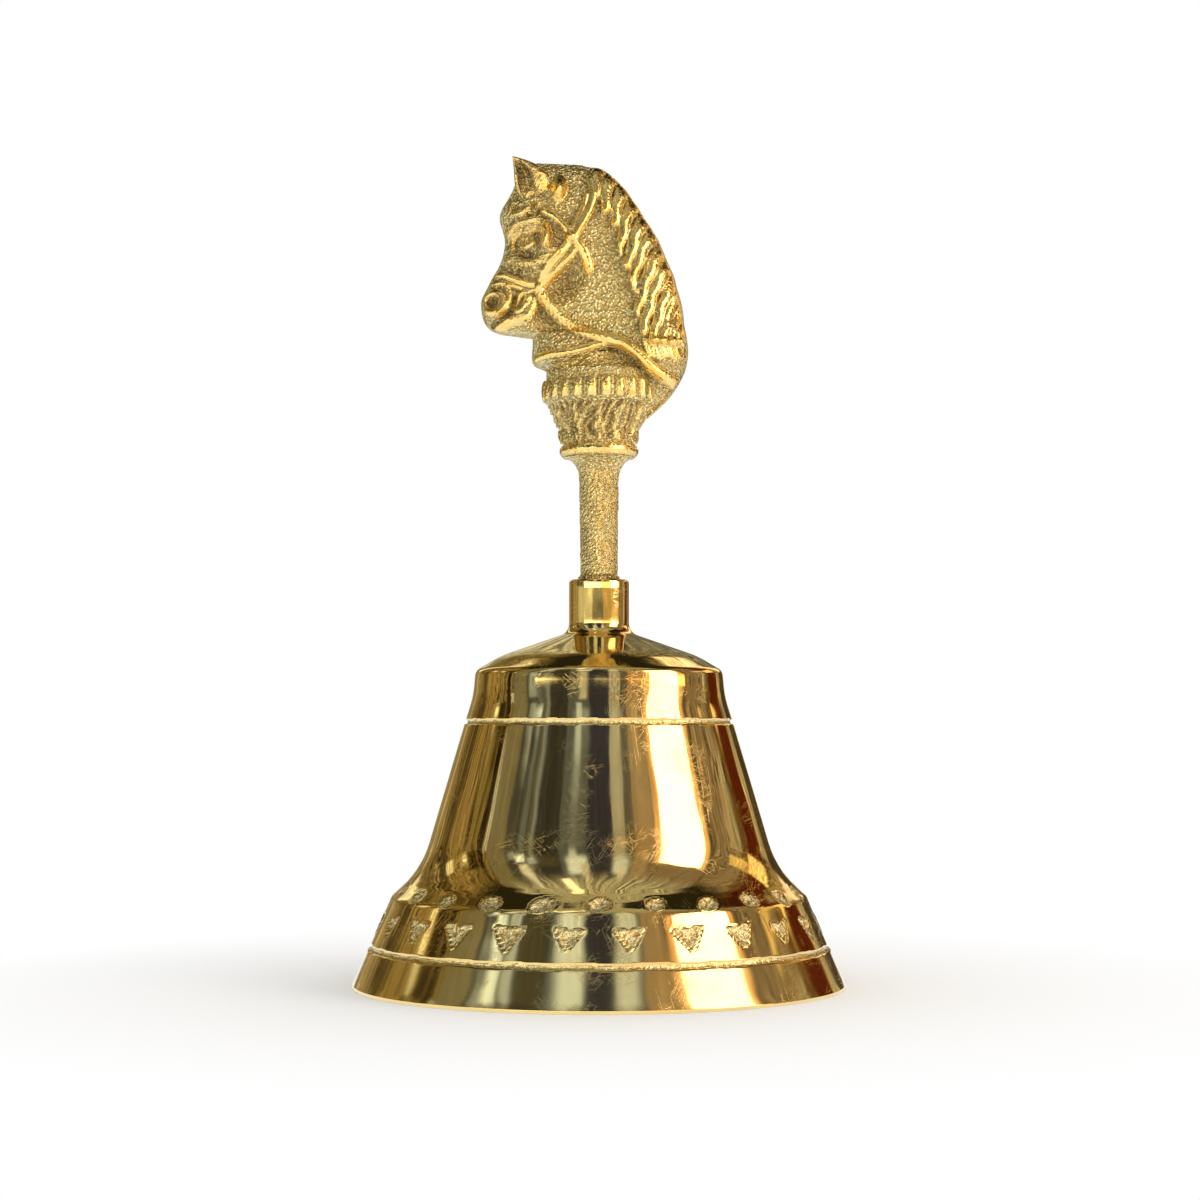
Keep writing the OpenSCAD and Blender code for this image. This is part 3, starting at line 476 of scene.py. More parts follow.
mark(handle, "buffed", np.clip(bright + 0.25 * sand, 0, 1))
# hollow: how far each place is darkened in colour. The flute grooves, the basket's sunk ground and the stem's
# dents get painted shade, the sand's pits polish residue, and the collar its dark joint at the neck
hollow = -2.3 * lift - 0.6 * (sand + 0.15) * (1 - np.clip(bright, 0, 1)) + 0.7 * collar
mark(handle, "hollow", np.clip(hollow, 0, 1))

# Horse's head: brass, cast in one with the capital from a carved pattern. It is a full, flat-sided form
# whose edges these rows follow, with a shallow relief of bridle, rein, eye and mane on each cheek.
# Each row: front x and z, back x and z, half the thickness in front and behind.
head_rows = [
    (-8.2, 0.3, 7.6, -7.0, 5.6, 4.6), (-9.0, 0.8, 10.4, -4.4, 6.3, 5.2),
    (-10.2, 1.4, 12.3, -1.8, 6.8, 5.6), (-10.4, 2.6, 13.4, 0.6, 6.8, 5.8),
    (-10.3, 4.4, 13.8, 3.2, 6.4, 5.8), (-10.6, 5.6, 13.6, 5.4, 5.6, 5.8),
    (-13.4, 5.9, 13.4, 6.6, 4.2, 5.7), (-16.4, 6.5, 13.2, 7.6, 3.9, 5.6),
    (-17.7, 7.8, 13.1, 8.8, 4.2, 5.5), (-18.2, 9.6, 12.9, 10.2, 4.3, 5.4),
    (-18.2, 11.4, 12.6, 11.6, 4.1, 5.4), (-17.4, 13.1, 12.1, 13.2, 4.0, 5.3),
    (-16.5, 14.9, 11.7, 14.9, 4.3, 5.3), (-15.6, 16.4, 11.0, 16.5, 4.7, 5.2),
    (-14.9, 18.3, 10.2, 18.4, 5.1, 5.1), (-14.6, 20.4, 9.4, 20.3, 5.3, 5.0),
    (-14.9, 22.0, 8.4, 22.1, 5.3, 4.9), (-15.4, 23.8, 7.2, 23.9, 5.1, 4.7),
    (-15.2, 25.2, 6.3, 25.4, 4.8, 4.5), (-14.3, 26.8, 5.3, 26.9, 4.4, 4.2),
    (-13.5, 28.3, 4.2, 28.4, 3.8, 3.8), (-12.9, 29.8, 2.6, 30.0, 3.2, 3.3),
    (-12.2, 31.2, 0.9, 31.3, 2.5, 2.5), (-10.9, 32.6, -2.2, 32.3, 1.3, 1.2),
]
rows_up, rows_across = 236, 150

noseband_top = [(-17.2, 14.9), (-15.4, 14.9), (-13.4, 14.2), (-11.3, 13.3), (-9.4, 12.9)]
noseband_low = [(-17.4, 13.5), (-15.2, 13.6), (-12.9, 13.0), (-11.0, 12.3), (-9.4, 12.2)]
cheek_strap = [(-9.0, 13.2), (-7.7, 15.4), (-6.2, 17.2), (-4.4, 19.8)]
jaw_edge = [(-9.0, 12.6), (-7.4, 13.9), (-5.6, 15.6), (-3.8, 18.2)]
throat_strap = [(-3.7, 20.0), (-2.6, 18.6), (-1.8, 16.8), (-1.6, 15.2)]
brow_band = [(-8.4, 24.4), (-6.8, 23.5), (-5.4, 22.2), (-4.4, 20.6)]
poll_strap = [(-3.6, 20.6), (-2.4, 22.8), (-1.3, 25.0), (-0.8, 27.2), (-1.1, 29.4)]
poll_strap_low = [(-4.3, 21.4), (-3.1, 23.4), (-2.2, 25.4), (-1.9, 27.0)]
rein_rope = [(-9.2, 12.4), (-8.0, 10.4), (-6.3, 8.4), (-3.9, 6.4), (-1.0, 5.2), (1.6, 4.6)]
rein_strap = [(1.2, 4.6), (3.4, 3.9), (5.4, 2.6), (7.4, 0.5), (9.6, -1.1), (12.4, -2.2)]
chest_edge = [(-10.4, 1.7), (-8.0, 2.1), (-5.4, 2.3), (-2.8, 2.8), (-0.6, 3.5), (1.4, 4.1)]
mane_front = [(-3.2, 31.9), (-0.9, 29.0), (-0.2, 26.6), (0.3, 24.4), (2.0, 22.0), (2.8, 19.6),
              (3.4, 16.0), (4.8, 13.0), (5.4, 9.6), (5.8, 7.4), (6.4, 5.2), (7.3, 1.6), (8.2, -4)]
upper_lid = [(-13.4, 18.8), (-13.2, 20.2), (-12.2, 21.2), (-11.2, 21.4), (-10.2, 21.5), (-9.2, 21.3)]
lower_lid = [(-12.0, 19.0), (-11.4, 18.8), (-10.6, 18.9), (-10.0, 19.4)]
brow = [(-13.9, 21.0), (-12.6, 22.2), (-10.6, 22.6), (-8.7, 22.3), (-7.9, 21.0), (-8.2, 19.0)]
face_crest = [(-14.3, 17.3), (-12.6, 16.6), (-10.6, 16.2), (-8.4, 16.7), (-6.6, 17.9)]
cheek_crease = [(-9.2, 14.9), (-10.7, 16.1), (-13.0, 16.0)]
mouth_line = [(-16.4, 7.1), (-14.9, 8.0), (-13.6, 8.9), (-13.0, 10.0), (-12.9, 11.2)]
ear_crease = [(-13.8, 26.6), (-10.4, 26.8)]
lip_fold = [(-14.0, 12.8), (-13.7, 11.2), (-14.3, 9.4), (-15.4, 8.4)]
lower_lip = [(-15.2, 6.6), (-13.2, 7.4), (-11.4, 7.8), (-10.3, 9.2), (-10.3, 10.8)]
bit_ring = [(-12.9, 9.4), (-12.4, 8.9), (-11.7, 9.5), (-11.1, 10.7), (-11.0, 11.8), (-11.6, 12.0),
            (-12.4, 11.1), (-12.9, 9.9), (-12.9, 9.4)]
lock_roots = [(0.4, 32.0), (2.6, 30.8), (4.6, 29.0), (6.4, 26.8), (8.0, 24.4), (9.4, 22.0), (10.6, 19.6),
              (11.5, 17.0), (12.3, 14.6), (12.9, 12.4), (13.5, 10.2), (14.0, 8.0)]
lock_tips = [(-0.6, 26.6), (0.9, 24.4), (2.4, 22.4), (3.0, 17.8), (4.4, 15.8), (4.9, 12.6), (5.7, 8.4),
             (6.7, 5.6), (8.3, 4.4), (9.9, 4.2), (11.3, 4.2), (12.6, 4.4)]


def between(a, b, c, d, f):
    """The place f (0 to 1) of the way from b to c on a smooth line through four points."""
    return 0.5 * (2 * b + (c - a) * f + (2 * a - 5 * b + 4 * c - d) * f * f
                  + (3 * b - a - 3 * c + d) * f ** 3)


def smoothed(route):
    """A smooth line through the points of a route, in eight parts from each to the next."""
    p = np.array([route[0], *route, route[-1]], dtype=float)
    line = [between(*four, f) for four in zip(p, p[1:], p[2:], p[3:]) for f in np.arange(8) / 8]
    return np.array(line + [p[-1]])


def beside(x, z, route):
    """Distance from each point to a smooth route, signed to its left, and how far along it lies."""
    line = smoothed(route)
    nearest = np.full(x.shape, 1e9)
    side = np.zeros(x.shape)
    along = np.zeros(x.shape)
    run = 0
    for a, b in zip(line, line[1:]):
        u = b - a
        length = max(1e-9, math.hypot(*u))
        f = np.clip(((x - a[0]) * u[0] + (z - a[1]) * u[1]) / length ** 2, 0, 1)
        dx, dz = x - a[0] - f * u[0], z - a[1] - f * u[1]
        d = np.hypot(dx, dz)
        closer = d < nearest
        nearest = np.where(closer, d, nearest)
        side = np.where(closer, np.sign(u[0] * dz - u[1] * dx), side)
        along = np.where(closer, run + f * length, along)
        run += length
    return nearest, side, along


def ridge(x, z, route, width, tall, square=2, taper=0):
    """A strap or edge along a route, round on top, or flatter with a higher square."""
    d, _, along = beside(x, z, route)
    d = d * 2 / (width * (1 - taper * along / max(1e-6, along.max())))
    return tall * np.clip(1 - d ** square, 0, 1) ** (1 / square)


def swell(x, z, middle, half_x, half_z, lean, tall):
    """A soft oval swelling, or a hollow where tall is below 0."""
    a = math.radians(lean)
    dx, dz = x - middle[0], z - middle[1]
    s = (dx * math.cos(a) + dz * math.sin(a)) / half_x
    t = (dz * math.cos(a) - dx * math.sin(a)) / half_z
    return tall * np.clip(1 - s * s - t * t, 0, 1) ** 2


def rope(x, z, route, width, tall, pitch):
    """A twisted cord along a route, its strands slanting across it."""
    d, side, along = beside(x, z, route)
    round_top = np.clip(1 - (d * 2 / width) ** 2, 0, 1) ** 0.5
    strands = np.abs(np.sin(math.pi * (along + 0.9 * d * side) / pitch))
    return round_top * (tall - 0.5 * (1 - strands) ** 2 * (d * 2 < width))


def mane(x, z):
    """Height of the mane: long locks from the crest, each a bright ridge beside a rough hollow."""
    d, side, _ = beside(x, z, mane_front)
    behind = ease(d * side / 0.6 + 0.5)
    locks = np.zeros(x.shape)
    last = len(lock_roots) - 1
    for i, (root, tip) in enumerate(zip(lock_roots, lock_tips)):
        bow = 0.9 if i % 2 else 0.4
        mid = (0.45 * root[0] + 0.55 * tip[0] - 0.2, 0.5 * (root[1] + tip[1]) + bow)
        wave = 0.16 * np.sin(z * (1.3 + 0.05 * i) + i * 2.1)
        locks = np.maximum(locks, ridge(x + wave, z, [root, mid, tip], 2.6, 1.2, 2.0, 0.4))
        if i < last:
            after, below = lock_roots[i + 1], lock_tips[i + 1]
            high = ((root[0] + after[0]) / 2 + 0.2, (root[1] + after[1]) / 2 + 0.1)
            low = ((tip[0] + below[0]) / 2 + 0.5, (tip[1] + below[1]) / 2 + 1.2)
            turn_in = (0.5 * (high[0] + low[0]) - 0.1, 0.5 * (high[1] + low[1]) + 0.5)
            locks = np.maximum(locks, ridge(x - wave, z, [high, turn_in, low], 1.3, 1.0, 2.0, 0.4))
    return behind * (0.1 + locks), behind


def cheek_relief(x, z):
    """All the carving on one cheek, and how bright its high places were buffed."""
    hair, behind = mane(x, z)
    band_edge = 1.0 + 0.6 * np.abs(np.sin((x - 7.0) * 1.35))
    band = behind * ease((z - band_edge) / 0.25) * ease((4.9 - z) / 0.8) * ease((x - 6.4) / 0.5)
    band = band * (1 - 0.35 * ease(np.sin(5.2 * (x + 0.3 * z))))
    straps = np.maximum.reduce([
        ridge(x, z, noseband_top, 1.15, 0.75), ridge(x, z, noseband_low, 1.0, 0.6),
        ridge(x, z, cheek_strap, 1.35, 0.8, 3), ridge(x, z, jaw_edge, 1.3, 0.7),
        ridge(x, z, throat_strap, 1.8, 1.0), ridge(x, z, brow_band, 1.3, 0.8, 3),
        ridge(x, z, poll_strap, 1.5, 1.05), ridge(x, z, poll_strap_low, 1.0, 0.8),
        rope(x, z, rein_rope, 1.9, 1.15, 0.95), ridge(x, z, rein_strap, 2.1, 1.1),
        ridge(x, z, chest_edge, 1.3, 0.7),
        swell(x, z, (-9.2, 12.6), 1.4, 1.4, 0, 1.3), swell(x, z, (-4.2, 20.2), 1.6, 1.6, 0, 1.6)])
    bit = ridge(x, z, bit_ring, 0.95, 0.75)
    lids = np.maximum(ridge(x, z, upper_lid, 0.95, 0.7), ridge(x, z, lower_lid, 0.8, 0.5))
    nose_rim = np.abs(np.hypot(x + 16.3, (z - 10.5) * 0.92) - 1.5)
    nostril = 0.6 * np.clip(1 - (nose_rim / 0.6) ** 2, 0, 1) ** 0.5
    drop = swell(x, z, (-6.1, 28.0), 1.7, 2.8, -6, 2.2)
    curls = grit(x + 30, z * 0.8 - 0.4 * x + 30, 0.95, 31)
    forelock = ease((z - 22.8 + 0.2 * (x + 12)) / 1.2) * ease((29.4 - z) / 1.4) * ease((-8.4 - x) / 1.2)
    form = (swell(x, z, (-8.4, 16.6), 5.0, 5.4, -20, 1.3) + swell(x, z, (-15.9, 9.9), 3.0, 3.8, 0, 1.1)
            + swell(x, z, (-11.2, 8.2), 2.2, 2.6, 20, 0.9) + ridge(x, z, lower_lip, 1.7, 0.55)
            + ridge(x, z, lip_fold, 1.0, 0.5) - swell(x, z, (-12.6, 15.4), 3.0, 1.6, -15, 0.5)
            + ridge(x, z, brow, 1.6, 0.75) + ridge(x, z, face_crest, 1.6, 0.55)
            + ridge(x, z, cheek_crease, 1.2, 0.35) - swell(x, z, (-11.2, 19.9), 3.3, 3.0, 0, 1.9)
            + swell(x, z, (-11.0, 19.8), 2.2, 2.2, 0, 2.2) - swell(x, z, (-11.3, 19.7), 0.9, 0.55, 0, 0.7)
            + swell(x, z, (-8.2, 20.2), 1.5, 2.9, 6, 1.8) - swell(x, z, (-10.8, 17.5), 2.3, 1.0, -8, 1.0)
            + swell(x, z, (-10.4, 22.6), 1.9, 1.3, 0, 0.7) - ridge(x, z, ear_crease, 1.2, 0.5)
            - swell(x, z, (-16.4, 10.5), 1.45, 1.6, 15, 1.6) - ridge(x, z, mouth_line, 1.0, 0.85)
            + forelock * 1.5 * (curls - 0.35))
    under_jaw = swell(x, z, (-5.0, 13.3), 3.0, 4.6, -45, 1.6) + swell(x, z, (-7.9, 8.2), 2.8, 3.6, 35, 1.1)
    skirt = np.array([*chest_edge, *rein_strap[1:]])
    below = ease((np.interp(x, skirt[:, 0], skirt[:, 1]) - 0.5 - z) / 0.9)
    form = form - under_jaw - 1.3 * below
    top = np.maximum.reduce([hair + 0.55 * band, straps, bit, lids, nostril, drop])
    bright = np.maximum.reduce([
        ease((hair - 0.5) / 0.35) * behind, band, ease(straps / 0.3 - 0.6), 0.8 * ease(bit / 0.3 - 0.5),
        0.7 * ease(lids / 0.3 - 0.6), ease(drop / 0.4 - 0.2), 0.8 * ease(nostril / 0.3 - 0.5),
        0.6 * ease(ridge(x, z, brow, 1.7, 1.6) - 0.5), 0.85 * ease(ridge(x, z, lower_lip, 1.9, 1.6) - 0.6),
        0.7 * ease(swell(x, z, (-11, 19.8), 2.2, 2.2, 0, 3) - 0.8),
        0.9 * ease(swell(x, z, (-8.0, 20.4), 1.4, 2.6, 6, 3) - 0.6),
        0.7 * ease(ridge(x, z, lip_fold, 1.1, 1.6) - 0.6),
        0.6 * ease(ridge(x, z, face_crest, 1.6, 1.6) - 0.7), 0.7 * forelock * ease((curls - 0.5) / 0.25)])
    return form + top, bright * (1 - 0.9 * below)


def rows_at(rows, places):
    """The row of numbers at each place (0 to 1) on a smooth line through all rows."""
    levels, back_to = np.unique(np.round(places, 6), return_inverse=True)
    found = []
    for t in levels * (len(rows) - 1):
        i = min(int(t), len(rows) - 2)
        four = (np.array(rows[min(max(k, 0), len(rows) - 1)]) for k in (i - 1, i, i + 1, i + 2))
        found.append(between(*four, t - i))
    return np.array(found)[back_to]


bpy.ops.mesh.primitive_grid_add(x_subdivisions=rows_across, y_subdivisions=rows_up, size=2,
                                location=(0, 0, 0))
head = bpy.context.object
head.name = head.data.name = "head"
flat, _ = points_of(head)
u, v = (flat[:, 0] * mm + 1) / 2, (flat[:, 1] * mm + 1) / 2
u = 0.25 * (1 - np.cos(np.pi * u)) + 0.5 * u
rows = rows_at(head_rows, v)
x = rows[:, 0] + (rows[:, 2] - rows[:, 0]) * u
z = rows[:, 1] + (rows[:, 3] - rows[:, 1]) * u
side = rows[:, 4] + (rows[:, 5] - rows[:, 4]) * ease((u - 0.2) / 0.5)
plain = side * np.clip(1 - np.abs(2 * u - 1) ** 4.0, 0, 1) ** 0.5
relief, bright = cheek_relief(x, z)
bright = bright * (1 - 0.8 * ease((np.abs(2 * u - 1) - 0.95) / 0.03))
inner = ease(np.minimum(u, 1 - u) / 0.025)
sand = grit(x + 50, z + 50, 0.42, 41) + 0.7 * grit(x + 50, z + 50, 0.24, 42) - 0.85
thick = plain + inner * (relief + 0.2 * sand * (1 - 0.85 * bright))
edge = (u < 1e-6) | (u > 1 - 1e-6)
thick = np.where(edge, 0, np.maximum(thick, 0.15))
set_points(head, np.stack([x, -thick, z + head_foot], axis=1))


def levelled(grid, rounds):
    """Heights of a grid, each evened out with its neighbours as many times as rounds says."""
    ground = grid.copy()
    for _ in range(rounds):
        ground[1:-1, 1:-1] = (ground[:-2, 1:-1] + ground[2:, 1:-1] + ground[1:-1, :-2] + ground[1:-1, 2:]) / 4
    return ground


def join_to(piece, other):
    """Makes one mesh of two pieces, under the first one's name."""
    bpy.ops.object.select_all(action="DESELECT")
    other.select_set(True)
    piece.select_set(True)
    bpy.context.view_layer.objects.active = piece
    bpy.ops.object.join()


# the ground that each place stands out from, or lies below
grid = relief.reshape(rows_up + 1, -1)
ground = levelled(grid, 14)
over = (grid - ground).ravel()
# sunk: places lying below the broad form, such as the eye socket and under the jaw, which get painted shade
sunk = np.clip((levelled(ground, 150) - grid).ravel() - 0.25, 0, 1) * (1 - bright)
mark(head, "buffed", np.clip(bright + 0.3 * sand + 0.6 * over, 0, 1))
from_mane, mane_side, _ = beside(x, z, mane_front)
# hollow: painted shade in creases, along strap edges, between the locks and in the sunk places, with polish
# residue in the grain's pits
hollow = -1.5 * over * (1 - 0.65 * ease(from_mane * mane_side)) + 0.5 * sunk
mark(head, "hollow", np.clip(hollow - 0.4 * (sand + 0.15) * (1 - bright), 0, 1))

# the other cheek is the same carving, mirrored, and the two meet along front and back edges
mirror = head.modifiers.new("other cheek", "MIRROR")
mirror.use_axis = (False, True, False)
mirror.use_clip = True
mirror.merge_threshold = 0.002 * mm
bpy.ops.object.modifier_apply(modifier=mirror.name)
bpy.ops.object.mode_set(mode="EDIT")
bpy.ops.mesh.select_all(action="DESELECT")
bpy.ops.mesh.select_non_manifold(extend=False, use_wire=False, use_multi_face=False,
                                 use_non_contiguous=False)
bpy.ops.mesh.edge_face_add()
bpy.ops.mesh.select_all(action="SELECT")
bpy.ops.mesh.normals_make_consistent(inside=False)
bpy.ops.object.mode_set(mode="OBJECT")
bpy.ops.object.shade_smooth()

# Ears: brass, cast on the poll in one with the head. They are pointed leaves, laid back, with a deep
# hollow that faces outwards and forwards and a fold down its middle.
ear_front = [(-10.2, 25.8), (-12.0, 26.8), (-12.9, 28.6), (-13.1, 30.6), (-13.2, 31.9), (-13.35, 33.1)]
ear_back = [(-8.6, 25.4), (-7.4, 26.6), (-7.2, 28.6), (-8.0, 30.6), (-10.3, 32.2), (-13.2, 33.15)]
for cheek in (-1, 1):
    bpy.ops.mesh.primitive_uv_sphere_add(segments=56, ring_count=34, radius=1, location=(0, 0, 0))
    ear = bpy.context.object
    ear.name = ear.data.name = "ear_left" if cheek < 0 else "ear_right"
    ball, _ = points_of(ear)
    ball = ball * mm
    up = np.arccos(np.clip(-ball[:, 2], -1, 1)) / math.pi
    front, back = rows_at(ear_front, up), rows_at(ear_back, up)
    round_it = np.sqrt(np.clip(1 - ball[:, 2] ** 2, 1e-9, 1))
    across = (ball[:, 0] / round_it + 1) / 2
    outward = ball[:, 1] * cheek
    x = front[:, 0] + (back[:, 0] - front[:, 0]) * across
    z = front[:, 1] + (back[:, 1] - front[:, 1]) * across
    inside_rim = np.clip(1 - (np.abs(across - 0.31) / 0.25) ** 3, 0, 1)
    inside_rim *= ease((up - 0.12) / 0.25) * ease((0.93 - up) / 0.2)
    fold = np.exp(-((across - 0.34) / 0.05) ** 2) * ease((up - 0.25) / 0.2) * ease((0.85 - up) / 0.2)
    scoop = np.where(outward > 0, inside_rim, 0)
    coarse = grit(x + 70, z + 70, 0.42, 51) - 0.5
    y = 2.9 + 0.6 * up + 1.5 * outward - (1.7 - 0.7 * fold) * scoop
    y += 0.2 * coarse * (outward > 0) * (0.3 + scoop)
    set_points(ear, np.stack([x, cheek * y, z + head_foot], axis=1))
    mark(ear, "buffed", np.clip(0.75 - 1.1 * scoop + 0.8 * coarse + 0.8 * fold, 0, 1))
    # hollow: painted shade inside the ear's scoop, lighter along the fold, with residue among its grit
    mark(ear, "hollow", np.clip((1.1 - 0.9 * coarse - 1.3 * fold) * scoop, 0, 1))
    bpy.ops.object.shade_smooth()
    join_to(head, ear)
join_to(handle, head)

cast_brass, tree, shader, where = metal("cast_brass", (0.93, 0.72, 0.31), 0.2)
buffed = attribute_of(tree, "buffed")
hollow = attribute_of(tree, "hollow")
grain = noise_of(tree, where, 0.32, detail=4, rough=0.75)
pebbles = node_of(tree, "ShaderNodeTexVoronoi", feature="SMOOTH_F1", Scale=1 / (0.46 * mm), Smoothness=0.3)
shaken = node_of(tree, "ShaderNodeVectorMath", operation="MULTIPLY_ADD")
tree.links.new(grain, shaken.inputs[0])
shaken.inputs[1].default_value = (0.3 * mm, 0.3 * mm, 0.3 * mm)
tree.links.new(where, shaken.inputs[2])
tree.links.new(shaken.outputs[0], pebbles.inputs["Vector"])
stones = ramp(tree, pebbles.outputs["Distance"], [(0.1, 1.0), (0.65, 0.0)])
height = sum_of(tree, times(tree, stones, 0.75), times(tree, grain, 0.5))
patches = noise_of(tree, where, 2.6, detail=3)
sandy = blend_of(tree, ramp(tree, height, [(0.36, 0), (0.56, 1)]), (0.64, 0.47, 0.17), (1.0, 0.93, 0.52))
golden = blend_of(tree, ramp(tree, patches, [(0.4, 0), (0.65, 1)]), (1.0, 0.78, 0.30), (1.0, 0.66, 0.19))
surface = blend_of(tree, buffed, sandy, golden)
# the hollow mark darkens the colour towards dark brown: painted shade in creases, grooves and sockets, and
# polish residue in the grain
shade_and_residue = times(tree, hollow, ramp(tree, grain, [(0.3, 1.0), (0.62, 0.35)]))
tree.links.new(blend_of(tree, shade_and_residue, surface, (0.22, 0.12, 0.04)), shader.inputs["Base Color"])
tree.links.new(blend_of(tree, buffed, (0.17, 0.17, 0.17), (0.10, 0.10, 0.10)), shader.inputs["Roughness"])
tree.links.new(ramp(tree, buffed, [(0.1, 0.93), (0.9, 1.0)]), shader.inputs["Metallic"])
rough_part = ramp(tree, buffed, [(0.2, 1.0), (0.9, 0.12)])
bump_of(tree, shader, times(tree, height, rough_part), 0.36)
handle.data.materials.append(cast_brass)
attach(handle, "bell")
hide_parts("handle")

# Eye bolt, washer, nut, link and rod: plated steel from the hardware tray, dull from years of ringing.
# Their CAD solids have the true shapes, so they stay and only take their finish here.
steel, tree, shader, where = metal("plated_steel", (0.60, 0.59, 0.56), 0.28)
blotch = noise_of(tree, where, 1.8, detail=4)
fine = noise_of(tree, where, 0.25, detail=3)
dulled = ramp(tree, blotch, [(0.4, 0), (0.75, 1)])
tree.links.new(blend_of(tree, dulled, (0.62, 0.61, 0.58), (0.36, 0.30, 0.22)), shader.inputs["Base Color"])
tree.links.new(ramp(tree, blotch, [(0.35, 0.2), (0.7, 0.45)]), shader.inputs["Roughness"])
bump_of(tree, shader, fine, 0.02)


def finish_of(name, metal_used):
    """Gives a CAD node its metal."""
    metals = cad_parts[name].data.materials
    metals.clear()
    metals.append(metal_used)


for name in ("eye_bolt", "crown_washer", "lock_nut", "clapper_link", "clapper_rod"):
    finish_of(name, steel)

# Clapper ball: turned from brass bar, drilled through, slid on the rod and held by the rod's peened
# foot. Its CAD solid stays too, and takes a duller brass than the cup's.
ball_brass, tree, shader, where = metal("ball_brass", (0.80, 0.60, 0.26), 0.2)
rings = noise_of(tree, where, 0.3, stretch=(0.01, 0.01, 1), detail=2)
stain = noise_of(tree, where, 3, detail=4)
stained = ramp(tree, stain, [(0.4, 0), (0.7, 1)])
tree.links.new(blend_of(tree, stained, (0.84, 0.63, 0.27), (0.55, 0.36, 0.13)), shader.inputs["Base Color"])
tree.links.new(ramp(tree, stain, [(0.35, 0.16), (0.7, 0.38)]), shader.inputs["Roughness"])
bump_of(tree, shader, rings, 0.01)
finish_of("clapper_ball", ball_brass)

# Floor: a plain pale table top, painted dull. It keeps the bell's soft shadow close by, and further out
# it runs into white, as the photograph's cut-out ground does.
floor_r, floor_drop = 1.5, 0.02 * mm
bpy.ops.mesh.primitive_circle_add(vertices=96, radius=floor_r, fill_type="NGON", location=(0, 0, -floor_drop))
floor = bpy.context.object
floor.name = "floor"
floor_white = bpy.data.materials.new("floor_white")
floor_white.use_nodes = True
tree = floor_white.node_tree
shader = tree.nodes["Principled BSDF"]
shader.inputs["Base Color"].default_value = (0.86, 0.86, 0.85, 1)
shader.inputs["Roughness"].default_value = 0.9


def seen_by(tree, *kinds):
    """1 for rays of the given kinds, 0 for all others."""
    paths = tree.nodes.new("ShaderNodeLightPath")
    seen = paths.outputs[kinds[0]]
    for kind in kinds[1:]:
        seen = sum_of(tree, seen, paths.outputs[kind], "MAXIMUM")
    return seen


looks = ("Is Camera Ray", "Is Glossy Ray", "Is Transmission Ray")
away = node_of(tree, "ShaderNodeVectorMath", operation="LENGTH")
tree.links.new(tree.nodes.new("ShaderNodeTexCoord").outputs["Object"], away.inputs[0])
far = ramp(tree, away.outputs["Value"], [(0.04, 0), (0.11, 1)])
far = sum_of(tree, far, seen_by(tree, "Is Glossy Ray"), "MAXIMUM")
white = node_of(tree, "ShaderNodeEmission", Strength=1.0)
mix = tree.nodes.new("ShaderNodeMixShader")
tree.links.new(times(tree, seen_by(tree, *looks), far), mix.inputs[0])
tree.links.new(shader.outputs[0], mix.inputs[1])
tree.links.new(white.outputs[0], mix.inputs[2])
tree.links.new(mix.outputs[0], tree.nodes["Material Output"].inputs["Surface"])
floor.data.materials.append(floor_white)

# Studio: a tent round the table, dim grey cloth in front and golden reed behind, hung with boards and
# open at the window, which gives the polished brass something to mirror. Only gloss sees it.
tent_r, lamp_off, bell_middle = 0.9, 0.7, Vector((0, 0, 0.05))
bpy.ops.mesh.primitive_uv_sphere_add(segments=72, ring_count=36, radius=tent_r, location=(0, 0, 0))
tent = bpy.context.object
tent.name = "tent"
grey, cool, ink = (1.0, 1.0, 0.95), (0.85, 1.0, 1.15), (0.58, 0.60, 1.0)
straw, tan, olive = (1.0, 0.93, 0.62), (1.0, 0.76, 0.50), (1.0, 0.72, 0.30)
amber, oxblood = (1.0, 0.56, 0.23), (1.0, 0.18, 0.06)
